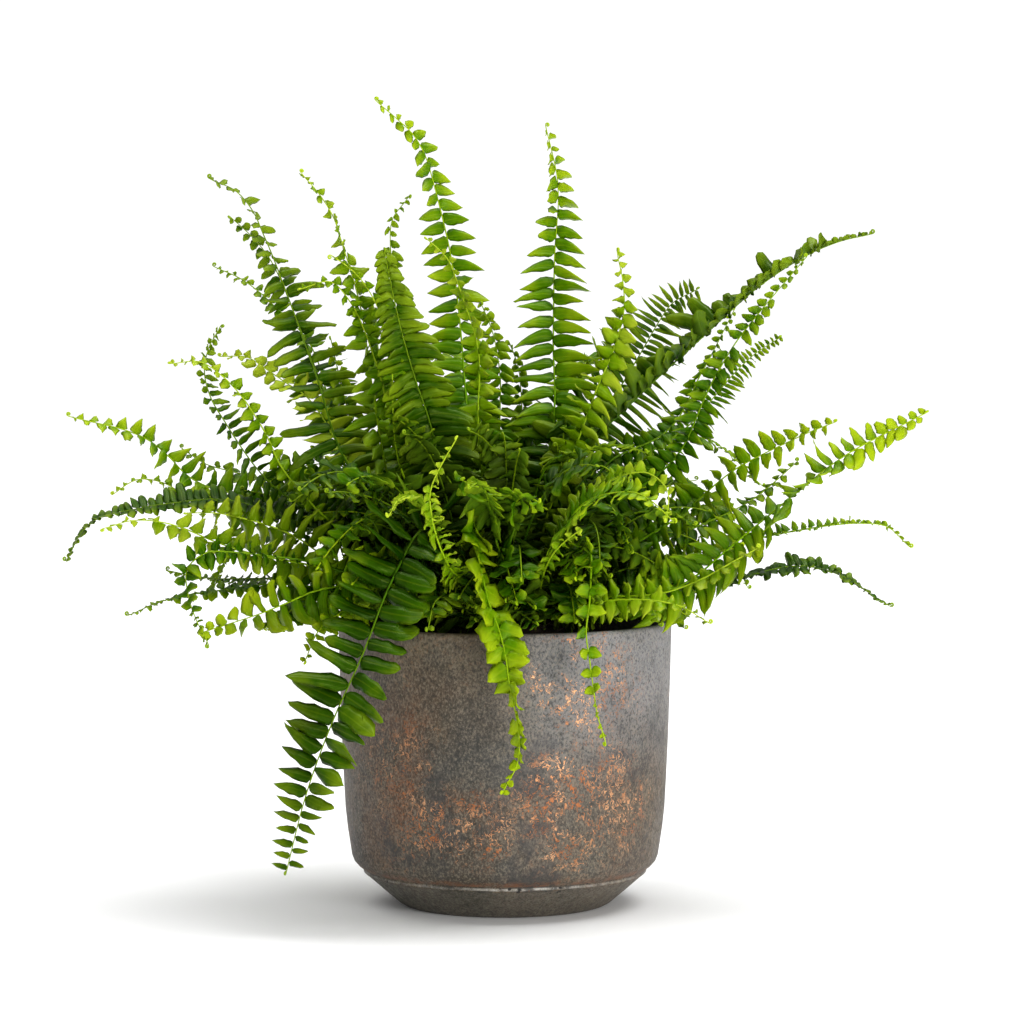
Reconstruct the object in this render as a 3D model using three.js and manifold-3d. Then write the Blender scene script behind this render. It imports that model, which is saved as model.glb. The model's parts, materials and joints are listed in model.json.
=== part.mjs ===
// A Boston fern in a round, straight-sided pot.
// Millimetres, +Z up. The origin is the centre of the pot's flat base, +X is right and -Y is the front.
// The pot holds soil, a rhizome crown lies on the soil, and every frond stands in a hole in the crown.
// A frond is one body: a stalk that goes on as the midrib, with leaflets cut to the midrib. Some stalks
// fork just above the crown, and then the two or three fronds of the fork are one body.
import * as THREE from 'three';
import { mergeVertices } from 'three/addons/utils/BufferGeometryUtils.js';
import Module from 'manifold-3d';

const wasm = await Module();
wasm.setup();

// Pot, from the base up.
const POT_RIM_RADIUS = 95;
const POT_HEIGHT = 161.3;
const POT_BASE_RADIUS = 59;
const BASE_BEVEL = [3, 1.2];
const POT_SEAM_RADIUS = 80.8;
const POT_SEAM_HEIGHT = 18.8;
const SEAM_RIDGE = [0.8, 1.3];
const SEAM_SLOPE = 3.2;
const POT_SHOULDER_RADIUS = 88.5;
const POT_SHOULDER_HEIGHT = 34.7;
const SHOULDER_TURN = [1.4, 9];
const POT_WAIST_RADIUS = 91.3;
const POT_WAIST_HEIGHT = 57;
const POT_WALL = 7;
const POT_FLOOR = 8;
const INNER_FOOT = [4.5, 4];
const RIM_ROUND = 1.2;
const POT_SIDES = 40;

// Soil and crown.
const SEAT_GAP = 0.3;
const SLOPED_WALL_GAP = 0.48;
const SOIL_TOP = 147;
const SOIL_FLARE = 3;
const SOIL_EDGE_FALL = 2;
const SOIL_LEVEL_RADIUS = 70;
const CROWN_RADIUS = 64;
const CROWN_RIM_HEIGHT = 5;
const CROWN_HEIGHT = 16;
const CROWN_SIDES = 22;
const CROWN_RINGS = [0.93, 0.68, 0.35];
const CROWN_BEVEL = [3, 2];
const CROWN_LUMP = 1.6;
const CROWN_LUMP_WAVES = [0.31, 0.27];
const CROWN_PLANTED_RADIUS = 55;
const PLACE_SHARE = 0.75;

// Fronds.
const RIB_WIDTH = 1.8;
const RIB_UNDERSIDE = 1.4;
const STALK_THICKNESS = 2;
const TIP_RIB_THICKNESS = 1.1;
const LEAFLET_EDGE = 0.7;
const LEAFLET_PITCH = 15;
const STALK_STEP = 34;
const LEAST_STALK = 0.03;
const LEAFLET_SWEEP = 17;
const LEAFLET_LEAST = 4;
const HOLE_DEPTH = 8;
const HOLE_CLEARANCE = 0.3;
const STALK_RISE = 4;
const FORK_LENGTH = 3.4;
const FORK_REACH = 5;
const FORK_RISE = 0.8;
const FORK_SEGMENT = 1;
const TURN_TO_FACE = 0.45;
const LEAF_CLEARANCE = 0.35;
const RIB_CLEARANCE = 0.6;
const POT_CLEARANCE = 0.8;
const OWN_LEAFLET_CLEARANCE = 0.25;
const NEIGHBOUR_CLEARANCE = 0.03;
const LEAFLET_FOOT = 0.14;
const USUAL_FOLD = 12;
const STEEPEST_FOLD = 45;
const USUAL_BARE = 0.13;
const USUAL_TAPER = 2.8;

const GOLDEN_ANGLE = Math.PI * (3 - Math.sqrt(5));
const UP = [0, 0, 1];
const FRONT = [0, -1, 0.3];
const FRONT_UP = [0, -0.7, 1];

const COLOURS = {
  pot: 0x7d6c5b,
  soil: 0x2c2118,
  crown: 0x4d3a22,
  young: 0x9cb53c,
  fresh: 0x7f9c2c,
  mature: 0x5a7a1e,
  dark: 0x3f5d19,
};

// One entry for each frond of the front and the sides, biggest first where they meet.
// route: where the midrib passes, as [x, y, z], chosen by hand, from above the crown to the tip.
// leaflet: the longest leaflet. face: where the upper side of the blade looks.
// fold: how far leaflets rise from the blade's plane, in degrees. bare: the part without leaflets.
// taper: low where the leaflets get shorter from far down, high where they stay long to the tip.
// branches: one or two more fronds that fork off the stalk just above the crown.
const FRONDS = [
  { name: 'tall_left', tone: 'fresh', leaflet: 23, face: FRONT, bare: 0.16, taper: 2,
    route: [[-20, 12, 265], [-29, 40, 355], [-39, 45, 402], [-50, 40, 435], [-73, 25, 457]] },
  { name: 'tall_right', tone: 'fresh', leaflet: 26, face: FRONT, bare: 0.16, taper: 2.2,
    route: [[28, 25, 275], [28, 45, 319], [29, 65, 370], [31, 70, 412], [24, 62, 444]] },
  { name: 'big_droop', tone: 'dark', leaflet: 29, face: [-0.3, -1, 0.4],
    route: [[-41, -70, 220], [-61, -95, 191], [-76, -110, 153],
      [-93, -117, 115], [-107, -120, 76], [-117, -120, 37]] },
  { name: 'left_big', tone: 'dark', leaflet: 26, face: [0.3, -1, 0.6], taper: 1.5,
    route: [[-88, 0, 247], [-108, 5, 302], [-124, 10, 346],
      [-138, 15, 381], [-150, 15, 403], [-167, 10, 412]] },
  { name: 'bright_drop', tone: 'fresh', leaflet: 13, face: [0.1, -1, 0.2], bare: 0.2,
    route: [[-17, -78, 219], [-9, -104, 181], [-1, -112, 159],
      [2, -114, 140], [8, -117, 98], [0, -118, 80]] },
  { name: 'long_right', tone: 'dark', leaflet: 20, face: [0, -0.15, 1], fold: 38,
    route: [[37, 0, 247], [70, 5, 283], [110, 10, 320], [150, 15, 355], [185, 15, 375], [208, 12, 381]] },
  { name: 'left_edge_on', tone: 'young', leaflet: 19, face: [-0.6, -1, 0.4], bare: 0.15, taper: 1.6,
    route: [[-62, -5, 230], [-75, -10, 294], [-81, -15, 338],
      [-91, -15, 373], [-99, -12, 395], [-114, -10, 414]] },
  { name: 'right_pale', tone: 'young', leaflet: 12, face: FRONT, bare: 0.25,
    route: [[23, -30, 220], [42, -35, 268], [51, -35, 293],
      [62, -33, 319], [67, -30, 343], [63, -28, 369]] },
  { name: 'feather_back', tone: 'dark', leaflet: 24, face: [0.3, -1, 0.6],
    route: [[41, 60, 257], [67, 85, 291], [86, 95, 322], [99, 100, 342], [113, 100, 350]] },
  { name: 'far_right', tone: 'fresh', leaflet: 17, face: [0, -1, 0.5], bare: 0.1,
    route: [[65, -35, 178], [97, -45, 184], [128, -55, 209],
      [159, -60, 235], [187, -62, 257], [231, -58, 280]] },
  { name: 'far_left_top', tone: 'fresh', leaflet: 16, face: FRONT_UP, fold: 20,
    route: [[-100, 0, 213], [-151, 5, 232], [-177, 8, 240],
      [-192, 10, 254], [-208, 10, 266], [-247, 5, 277]] },
  { name: 'far_left_mid', tone: 'dark', leaflet: 14, face: [0, -0.3, 1], fold: 15,
    route: [[-99, -20, 209], [-154, -30, 231], [-184, -35, 230],
      [-209, -38, 226], [-232, -38, 219], [-244, -36, 200]] },
  { name: 'dark_blade', tone: 'dark', leaflet: 24, face: [0.35, -1, 0.3],
    route: [[-31, -20, 220], [-41, -28, 271], [-50, -32, 299], [-58, -35, 327], [-67, -33, 369]] },
  { name: 'right_upper', tone: 'mature', leaflet: 13, face: FRONT, bare: 0.15,
    route: [[54, -20, 220], [96, -25, 255], [114, -28, 293],
      [129, -28, 319], [144, -26, 338], [168, -22, 366]] },
  { name: 'right_thin_arch', tone: 'fresh', leaflet: 11, face: [0, -0.4, 1], fold: 30, taper: 1.5,
    route: [[66, 0, 182], [106, 5, 196], [143, 8, 207], [174, 10, 213],
      [200, 10, 216], [219, 10, 214], [230, 8, 204]] },
  { name: 'right_low_arch', tone: 'dark', leaflet: 15, face: [0, -0.15, 1], fold: 10, bare: 0.1,
    route: [[66, 20, 176], [106, 25, 176], [134, 28, 183],
      [167, 30, 190], [189, 30, 187], [221, 28, 168]] },
  { name: 'comb_left', tone: 'fresh', leaflet: 21, face: [0.1, -1, 0.3], bare: 0.1,
    route: [[-70, -54, 184], [-102, -75, 184], [-127, -82, 174], [-145, -85, 168], [-164, -86, 162]],
    branches: [
      { leaflet: 8, face: FRONT, bare: 0.3,
        route: [[-64, -60, 178], [-88, -80, 173], [-102, -90, 162], [-108, -94, 148]] },
    ] },
  { name: 'low_left_long', tone: 'mature', leaflet: 11, face: FRONT_UP, bare: 0.1,
    route: [[-93, -30, 180], [-132, -30, 184], [-163, -30, 180], [-188, -30, 176], [-210, -28, 167]] },
  { name: 'left_lower_stem', tone: 'young', leaflet: 13, face: FRONT, bare: 0.2,
    route: [[-90, -45, 191], [-143, -60, 204], [-162, -65, 211],
      [-184, -68, 220], [-204, -70, 222], [-219, -70, 218]] },
  { name: 'left_hanging', tone: 'mature', leaflet: 10, face: [-0.6, -1, 0.3], bare: 0.62,
    route: [[-97, -62, 196], [-144, -86, 205], [-161, -91, 206],
      [-172, -93, 198], [-171, -93, 178], [-162, -91, 157]] },
  { name: 'thin_drop', tone: 'fresh', leaflet: 9, face: FRONT, bare: 0.25,
    route: [[46, -85, 208], [46, -104, 181], [44, -109, 162],
      [47, -112, 142], [49, -113, 124], [54, -113, 106]] },
  { name: 'left_behind', tone: 'dark', leaflet: 16, face: FRONT, bare: 0.16,
    route: [[-93, 50, 263], [-118, 70, 321], [-138, 80, 367], [-151, 85, 383], [-161, 85, 392]] },
  { name: 'left_slim', tone: 'mature', leaflet: 13, face: FRONT_UP, bare: 0.16,
    route: [[-98, 90, 267], [-117, 110, 318], [-139, 120, 341], [-157, 125, 356], [-174, 125, 364]] },
  { name: 'yellow_left', tone: 'young', leaflet: 12, face: FRONT_UP, bare: 0.16,
    route: [[-84, 30, 240], [-114, 50, 286], [-132, 60, 298], [-153, 70, 311], [-166, 75, 311]] },
  { name: 'left_upright', tone: 'dark', leaflet: 13, face: [0.6, -1, 0.3], bare: 0.2,
    route: [[-94, -10, 213], [-132, -20, 241], [-155, -25, 273],
      [-167, -25, 296], [-167, -22, 313], [-161, -15, 327]] },
  { name: 'left_stalk', tone: 'young', leaflet: 7, face: FRONT, bare: 0.45,
    route: [[-87, -25, 209], [-123, -35, 247], [-135, -40, 272],
      [-152, -42, 296], [-170, -42, 309], [-184, -40, 308]],
    branches: [
      { leaflet: 17, face: [0, -1, 0.6], bare: 0.3,
        route: [[-97, -45, 199], [-119, -45, 213], [-142, -47, 221], [-161, -48, 225], [-175, -48, 225]] },
    ] },
  { name: 'left_curl', tone: 'young', leaflet: 7, face: FRONT, bare: 0.6,
    route: [[-58, -30, 248], [-65, -35, 322], [-78, -35, 352], [-89, -35, 363], [-95, -35, 367]],
    branches: [
      { leaflet: 9, face: FRONT, bare: 0.5,
        route: [[-58, -20, 250], [-70, -22, 300], [-86, -22, 341], [-99, -22, 354], [-113, -22, 350]] },
    ] },
  { name: 'mid_small', tone: 'mature', leaflet: 17, face: FRONT, bare: 0.2, taper: 1.6,
    route: [[-52, 40, 275], [-63, 60, 344], [-66, 62, 367], [-67, 60, 388], [-57, 55, 403]],
    branches: [
      { leaflet: 15, face: FRONT, bare: 0.2,
        route: [[-50, 25, 235], [-62, 30, 262], [-71, 32, 300], [-76, 30, 342]] },
      { leaflet: 14, face: FRONT, bare: 0.2,
        route: [[-70, 40, 228], [-82, 45, 250], [-93, 48, 284], [-101, 45, 320]] },
    ] },
  { name: 'front_of_tall', tone: 'young', leaflet: 12, face: [-0.5, -1, 0.5], bare: 0.2,
    route: [[-15, -15, 270], [-15, -10, 315], [-23, -5, 342], [-34, 0, 369], [-43, 0, 377]] },
  { name: 'left_young', tone: 'young', leaflet: 8, face: FRONT_UP, bare: 0.5,
    route: [[-101, 20, 220], [-153, 30, 229], [-186, 35, 232],
      [-203, 35, 240], [-217, 35, 239], [-225, 34, 233]] },
  { name: 'left_shelf', tone: 'dark', leaflet: 14, face: FRONT_UP,
    route: [[-84, 30, 217], [-130, 40, 237], [-158, 45, 244], [-175, 46, 249], [-187, 46, 257]] },
  { name: 'low_left_dark', tone: 'dark', leaflet: 11, face: UP, bare: 0.1,
    route: [[-95, 10, 184], [-142, 15, 184], [-170, 18, 184], [-192, 18, 188]] },
  { name: 'right_feather', tone: 'mature', leaflet: 18, face: FRONT_UP,
    route: [[67, 50, 239], [108, 62, 271], [132, 70, 298], [145, 72, 311], [160, 72, 321]] },
  { name: 'right_slim', tone: 'mature', leaflet: 11, face: FRONT, bare: 0.16,
    route: [[55, 25, 246], [95, 35, 269], [113, 40, 300], [120, 40, 313], [132, 38, 337]] },
  { name: 'right_mid', tone: 'fresh', leaflet: 16, face: FRONT_UP,
    route: [[60, -10, 196], [98, -15, 221], [128, -20, 247],
      [154, -22, 261], [171, -22, 269], [184, -20, 274]],
    branches: [
      { leaflet: 14, face: FRONT_UP, bare: 0.25,
        route: [[53, -35, 176], [75, -35, 187], [95, -35, 194], [112, -35, 201], [131, -35, 205]] },
    ] },
  { name: 'right_inner', tone: 'mature', leaflet: 13, face: FRONT_UP, bare: 0.1,
    route: [[66, 10, 195], [106, 15, 212], [139, 20, 227], [156, 22, 240], [167, 22, 250]] },
  { name: 'low_right_pale', tone: 'young', leaflet: 13, face: FRONT_UP, bare: 0.1,
    route: [[53, -60, 178], [85, -75, 182], [107, -80, 190], [126, -84, 201], [137, -85, 207]] },
  { name: 'low_right_star', tone: 'young', leaflet: 13, face: FRONT_UP, bare: 0.1,
    route: [[47, -72, 176], [74, -90, 180], [95, -97, 177], [109, -100, 169]] },
  { name: 'right_curl', tone: 'young', leaflet: 11, face: FRONT_UP, bare: 0.2,
    route: [[30, -66, 212], [46, -98, 236], [63, -122, 249],
      [78, -134, 250], [87, -140, 240], [86, -143, 228]] },
  { name: 'right_front', tone: 'fresh', leaflet: 13, face: FRONT_UP, bare: 0.16,
    route: [[26, -74, 204], [41, -112, 232], [60, -146, 241], [73, -164, 240], [87, -178, 228]] },
  { name: 'front_curl', tone: 'young', leaflet: 12, face: FRONT, bare: 0.1,
    route: [[-20, -74, 186], [-30, -104, 199], [-38, -132, 224],
      [-39, -144, 242], [-34, -150, 254], [-26, -152, 268]] },
  { name: 'front_left_tip', tone: 'young', leaflet: 10, face: FRONT_UP, bare: 0.16,
    route: [[-34, -56, 204], [-42, -92, 228], [-49, -126, 238], [-56, -152, 237], [-60, -168, 230]] },
  { name: 'centre_flat', tone: 'mature', leaflet: 13, face: UP, bare: 0.2,
    route: [[14, -20, 220], [24, -45, 252], [42, -72, 260], [63, -98, 264], [75, -116, 261]] },
  { name: 'centre_crozier', tone: 'young', leaflet: 5, face: FRONT, bare: 0.6,
    route: [[20, -68, 186], [25, -92, 203], [34, -108, 214], [40, -118, 219]] },
  { name: 'centre_fan', tone: 'mature', leaflet: 15, face: FRONT_UP, bare: 0.1,
    route: [[-3, -58, 200], [-7, -90, 226], [-10, -122, 240], [-14, -148, 246], [-18, -166, 244]] },
  { name: 'centre_tall', tone: 'mature', leaflet: 15, face: FRONT,
    route: [[-1, 15, 240], [-3, 20, 269], [-3, 28, 302], [-8, 32, 328], [-13, 30, 340]] },
  { name: 'centre_back', tone: 'mature', leaflet: 12, face: FRONT, bare: 0.16,
    route: [[10, 30, 246], [10, 40, 272], [9, 50, 294], [7, 52, 308], [3, 50, 318]] },
];

// The fronds behind arch out of the crown in a fan, two to a stalk, by a rule.
const BACK_COUNT = 10;
const BACK_FIRST_BEARING = 34;
const BACK_LAST_BEARING = 146;
const BACK_REACHES = [185, 215, 155, 200];
const BACK_PEAKS = [262, 232, 312, 208];
const BACK_DROPS = [28, 62, 16, 58];
const BACK_TONES = ['mature', 'dark', 'fresh', 'dark'];
const BACK_LEAFLET = 19;

// Short low fronds hide the crown and the rim all round, three to a stalk, by a rule.
const LOW_COUNT = 15;
const LOW_FIRST_BEARING = -112;
const LOW_REACHES = [110, 103, 118];
const LOW_PEAKS = [181, 175, 191];
const LOW_DROPS = [15, 8, 22];
const LOW_TONES = ['dark', 'mature', 'dark', 'mature', 'dark'];
const LOW_LEAFLET = 17;
const LOW_FOLD = -8;
const LOW_BARE = 0.22;

// Where a frond made by a rule passes, as parts of its reach and of its rise from the soil.
const ARCH_PARTS = [0.3, 0.55, 0.78];
const ARCH_RISES = [0.62, 0.95, 1];
const LOW_ARCH_PARTS = [0.58, 0.76, 0.9];

const vec = ([x, y, z]) => new THREE.Vector3(x, y, z);
const radians = THREE.MathUtils.degToRad;
const { clamp, lerp, smoothstep } = THREE.MathUtils;

// An arching frond that goes out from the crown at a bearing, up to a peak and down again at its tip.
function archingFrond({ bearing, reach, peak, drop, parts, ...rest }) {
  const at = (part, height) => [reach * part * Math.cos(bearing), reach * part * Math.sin(bearing), height];
  const arch = parts.map((part, i) => at(part, lerp(SOIL_TOP, peak, ARCH_RISES[i])));
  return { face: UP, ...rest, route: [...arch, at(1, peak - drop)] };
}

function backFrond(index) {
  const kind = index % BACK_REACHES.length;
  return archingFrond({
    bearing: radians(lerp(BACK_FIRST_BEARING, BACK_LAST_BEARING, index / (BACK_COUNT - 1))),
    reach: BACK_REACHES[kind],
    peak: BACK_PEAKS[kind],
    drop: BACK_DROPS[kind],
    parts: ARCH_PARTS,
    tone: BACK_TONES[kind],
    leaflet: BACK_LEAFLET,
  });
}

function lowFrond(index) {
  const kind = index % LOW_REACHES.length;
  return archingFrond({
    bearing: radians(LOW_FIRST_BEARING + 360 * index / LOW_COUNT),
    reach: LOW_REACHES[kind],
    peak: LOW_PEAKS[kind],
    drop: LOW_DROPS[kind],
    parts: LOW_ARCH_PARTS,
    tone: LOW_TONES[Math.floor(index / LOW_REACHES.length)],
    leaflet: LOW_LEAFLET,
    fold: LOW_FOLD,
    bare: LOW_BARE,
  });
}

// The ruled fronds, as stalks with branches: pairs behind, and threes with the middle one as the stalk.
function ruledFronds() {
  const back = Array.from({ length: BACK_COUNT }, (_, i) => backFrond(i));
  const low = Array.from({ length: LOW_COUNT }, (_, i) => lowFrond(i));
  const pairs = back.filter((_, i) => i % 2 === 0).map((frond, i) => (
    { ...frond, name: `back_${i + 1}`, branches: [back[2 * i + 1]] }
  ));
  const threes = low.filter((_, i) => i % 3 === 1).map((frond, i) => (
    { ...frond, name: `low_${i + 1}`, branches: [low[3 * i], low[3 * i + 2]] }
  ));
  return [...pairs, ...threes];
}

function geometryOf(solid) {
  const mesh = solid.getMesh();
  const geometry = new THREE.BufferGeometry();
  geometry.setAttribute('position', new THREE.BufferAttribute(mesh.vertProperties, 3));
  geometry.setIndex(new THREE.BufferAttribute(mesh.triVerts, 1));
  return geometry;
}

function solidOf(geometry) {
  const bare = geometry.clone();
  bare.deleteAttribute('normal');
  bare.deleteAttribute('uv');
  const merged = mergeVertices(bare);
  return new wasm.Manifold(new wasm.Mesh({
    numProp: 3,
    vertProperties: merged.attributes.position.array,
    triVerts: new Uint32Array(merged.index.array),
  }));
}

// Turns an [x, z] profile round the Z axis.
function turned(profile, sides) {
  const points = profile.map(([radius, height]) => new THREE.Vector2(radius, height));
  return new THREE.LatheGeometry(points, sides).rotateX(Math.PI / 2);
}

// The pot's inner wall, from the floor up.
const INNER_WALL = [
  [POT_BASE_RADIUS, POT_FLOOR],
  [POT_SEAM_RADIUS - INNER_FOOT[0], POT_SEAM_HEIGHT + INNER_FOOT[1]],
  [POT_SHOULDER_RADIUS - POT_WALL, POT_SHOULDER_HEIGHT + 1],
  [POT_WAIST_RADIUS - POT_WALL, POT_WAIST_HEIGHT],
  [POT_RIM_RADIUS - POT_WALL, POT_HEIGHT - RIM_ROUND],
];

function potGeometry() {
  return turned([
    [0, 0],
    [POT_BASE_RADIUS, 0],
    [POT_BASE_RADIUS + BASE_BEVEL[0], BASE_BEVEL[1]],
    [POT_SEAM_RADIUS - SEAM_RIDGE[0], POT_SEAM_HEIGHT - SEAM_RIDGE[1]],
    [POT_SEAM_RADIUS, POT_SEAM_HEIGHT],
    [POT_SEAM_RADIUS + SEAM_SLOPE, POT_SEAM_HEIGHT + SEAM_SLOPE],
    [POT_SHOULDER_RADIUS - SHOULDER_TURN[0], POT_SHOULDER_HEIGHT - SHOULDER_TURN[1]],
    [POT_SHOULDER_RADIUS, POT_SHOULDER_HEIGHT],
    [POT_WAIST_RADIUS, POT_WAIST_HEIGHT],
    [POT_RIM_RADIUS, POT_HEIGHT - RIM_ROUND],
    [POT_RIM_RADIUS - RIM_ROUND, POT_HEIGHT],
    [POT_RIM_RADIUS - POT_WALL + RIM_ROUND, POT_HEIGHT],
    ...[...INNER_WALL].reverse(),
    [0, POT_FLOOR],
  ], POT_SIDES);
}

function soilGeometry() {
  const gap = SLOPED_WALL_GAP;
  const filled = INNER_WALL.slice(0, -1).map(([radius, height]) => [radius - gap, height + SEAT_GAP]);
  return turned([
    [0, POT_FLOOR + SEAT_GAP],
    ...filled,
    [POT_WAIST_RADIUS - POT_WALL + SOIL_FLARE - gap, SOIL_TOP - SOIL_EDGE_FALL],
    [SOIL_LEVEL_RADIUS, SOIL_TOP],
    [0, SOIL_TOP],
  ], POT_SIDES);
}

// The crown's top, which falls from its middle to its rim.
function crownTop(radius) {
  const share = Math.min(1, radius / CROWN_RADIUS);
  return SOIL_TOP + SEAT_GAP + lerp(CROWN_HEIGHT, CROWN_RIM_HEIGHT, share ** 2);
}

function crownGeometry(holes) {
  const low = SOIL_TOP + SEAT_GAP;
  const edge = low + CROWN_BEVEL[1];
  const geometry = turned([
    [0, low],
    [CROWN_RADIUS - CROWN_BEVEL[0], low],
    [CROWN_RADIUS, edge],
    ...CROWN_RINGS.map((part) => [part * CROWN_RADIUS, crownTop(part * CROWN_RADIUS)]),
    [0, crownTop(0)],
  ], CROWN_SIDES);
  const position = geometry.attributes.position;
  const point = new THREE.Vector3();
  for (let i = 0; i < position.count; i += 1) {
    point.fromBufferAttribute(position, i);
    const lump = Math.sin(point.x * CROWN_LUMP_WAVES[0]) * Math.cos(point.y * CROWN_LUMP_WAVES[1]);
    if (point.z > edge + 0.5) position.setZ(i, point.z + CROWN_LUMP * lump);
  }
  return geometryOf(holes.reduce((solid, hole) => solid.subtract(hole), solidOf(geometry)));
}

// Places for the stalks, on a golden-angle spiral over the crown.
function crownPlaces(count) {
  return Array.from({ length: count }, (_, i) => {
    const radius = CROWN_PLANTED_RADIUS * Math.sqrt((i + 0.5) / count);
    const angle = i * GOLDEN_ANGLE;
    return new THREE.Vector3(radius * Math.cos(angle), radius * Math.sin(angle), crownTop(radius));
  });
}

// Each frond takes the free place nearest to the way it leans, the lowest fronds first.
function plant(fronds) {
  const free = crownPlaces(fronds.length);
  const lean = (frond) => vec(frond.route[0]).setZ(0).length() / (frond.route[0][2] - SOIL_TOP);
  for (const frond of [...fronds].sort((a, b) => lean(b) - lean(a))) {
    const aim = vec(frond.route[0]).setZ(0);
    aim.setLength(Math.min(CROWN_PLANTED_RADIUS, aim.length() * PLACE_SHARE));
    free.sort((a, b) => Math.hypot(a.x - aim.x, a.y - aim.y) - Math.hypot(b.x - aim.x, b.y - aim.y));
    frond.place = free.shift();
  }
}

// Where a midrib starts: a stalk in its hole, or a branch at the side of its stalk's fork.
function startOf(frond) {
  if (!frond.stalk) {
    const mouth = frond.place.clone();
    const foot = mouth.clone().setZ(mouth.z - HOLE_DEPTH + HOLE_CLEARANCE);
    return { foot, mouth: mouth.setZ(mouth.z + STALK_RISE) };
  }
  const [from, to] = frond.stalk.stations.slice(FORK_SEGMENT, FORK_SEGMENT + 2);
  const out = from.right.clone().multiplyScalar(frond.side);
  const foot = from.centre.clone().lerp(to.centre, 0.5).addScaledVector(out, RIB_UNDERSIDE / 2);
  const away = out.addScaledVector(from.way, FORK_RISE).setLength(FORK_REACH);
  return { foot, mouth: foot.clone().add(away) };
}

// The midrib's stations: a centre, the way on, the upper side and the thickness at each.
function stationsOf(frond, shift) {
  const { foot, mouth } = startOf(frond);
  const last = frond.route.length - 1;
  const through = frond.route.map((point, i) => (
    vec(point).addScaledVector(shift, Math.sin(Math.PI * (i + 1) / (last + 1.5)))
  ));
  const curve = new THREE.CatmullRomCurve3([foot, mouth, ...through], false, 'centripetal');
  curve.arcLengthDivisions = 600;
  const length = curve.getLength();
  const start = foot.distanceTo(mouth) / length;
  const stalkStart = frond.branches ? start + FORK_LENGTH / length : start;
  const bladeStart = Math.max(frond.bare ?? USUAL_BARE, stalkStart + LEAST_STALK);
  const stalkSteps = Math.max(1, Math.round((bladeStart - stalkStart) * length / STALK_STEP));
  const bladeSteps = Math.round((1 - bladeStart) * length / LEAFLET_PITCH);
  const marks = frond.branches ? [stalkStart] : [];
  for (let i = 1; i <= stalkSteps; i += 1) marks.push(lerp(stalkStart, bladeStart, i / stalkSteps));
  const bladeFirst = marks.length + 1;
  for (let i = 1; i <= bladeSteps; i += 1) marks.push(lerp(bladeStart, 1, i / bladeSteps));
  const face = vec(frond.face).normalize();
  const centres = [foot, mouth, ...marks.map((mark) => curve.getPointAt(mark))];
  const first = frond.stalk ? curve.getTangentAt(start) : vec(UP);
  const ways = [first, first, ...marks.map((mark) => curve.getTangentAt(mark))];
  let upper = face.z < 1 ? face.clone().setZ(0) : foot.clone().sub(through.at(-1)).setZ(0);
  upper.normalize();
  const stations = centres.map((centre, i) => {
    const way = ways[i];
    if (i > FORK_SEGMENT + 1 || (i > 1 && !frond.branches)) upper = upper.clone().lerp(face, TURN_TO_FACE);
    upper.addScaledVector(way, -upper.dot(way)).normalize();
    const right = way.clone().cross(upper).normalize();
    const share = i / (centres.length - 1);
    const half = lerp(STALK_THICKNESS, TIP_RIB_THICKNESS, share ** 0.7) / 2;
    const blade = i >= bladeFirst ? (i - bladeFirst) / bladeSteps : -1;
    return { centre, way, upper, right, half, blade };
  });
  return frond.stalk ? stations.slice(1) : stations;
}

// The four corners of the midrib at a station: left and right above, then right and left below.
// A midrib is flat above and narrower beneath.
function cornersOf({ centre, right, upper, half }) {
  const corner = (side, face) => centre.clone()
    .addScaledVector(right, side * (face > 0 ? RIB_WIDTH : RIB_UNDERSIDE) / 2)
    .addScaledVector(upper, face * half);
  return [corner(-1, 1), corner(1, 1), corner(1, -1), corner(-1, -1)];
}

// Length of the leaflets along the blade: short at the base, full in the middle, fine at the tip.
function leafletShare(along, taper = USUAL_TAPER) {
  return (0.5 + 0.5 * smoothstep(along, 0, 0.2)) * (1 - along ** taper) ** 0.8;
}

// A convex piece for the clearance test: its corners and the directions that may part it from others.
function piece(points, faces, edges) {
  const box = new THREE.Box3().setFromPoints(points);
  const directions = faces.map(([a, b, c]) => (
    points[b].clone().sub(points[a]).cross(points[c].clone().sub(points[a])).normalize()
  ));
  const lines = edges.map(([a, b]) => points[b].clone().sub(points[a]).normalize());
  return { points, box, directions, lines };
}

function partedAlong(axis, a, b, gap) {
  let [lowA, highA, lowB, highB] = [Infinity, -Infinity, Infinity, -Infinity];
  for (const point of a.points) {
    const reach = axis.dot(point);
    lowA = Math.min(lowA, reach);
    highA = Math.max(highA, reach);
  }
  for (const point of b.points) {
    const reach = axis.dot(point);
    lowB = Math.min(lowB, reach);
    highB = Math.max(highB, reach);
  }
  return lowA - highB >= gap || lowB - highA >= gap;
}

function clear(a, b, gap) {
  const near = a.box.clone().expandByScalar(gap);
  if (!near.intersectsBox(b.box)) return true;
  for (const axis of [...a.directions, ...b.directions]) {
    if (partedAlong(axis, a, b, gap)) return true;
  }
  for (const lineA of a.lines) {
    for (const lineB of b.lines) {
      const axis = lineA.clone().cross(lineB);
      if (axis.lengthSq() > 1e-4 && partedAlong(axis.normalize(), a, b, gap)) return true;
    }
  }
  return false;
}

const RIB_FACES = [[0, 1, 4], [1, 2, 5], [0, 1, 2], [4, 5, 6]];
const RIB_EDGES = [[0, 1], [1, 2], [0, 4], [1, 5], [2, 6], [3, 7]];
const LEAFLET_FACES = [[0, 4, 1], [2, 3, 5], [0, 2, 5], [1, 4, 5]];
const LEAFLET_EDGES = [[0, 4], [1, 4], [2, 5], [3, 5], [0, 1], [0, 2]];

function ribPieces(frond) {
  return frond.corners.slice(1).map((next, i) => piece([...frond.corners[i], ...next], RIB_FACES, RIB_EDGES));
}

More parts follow.
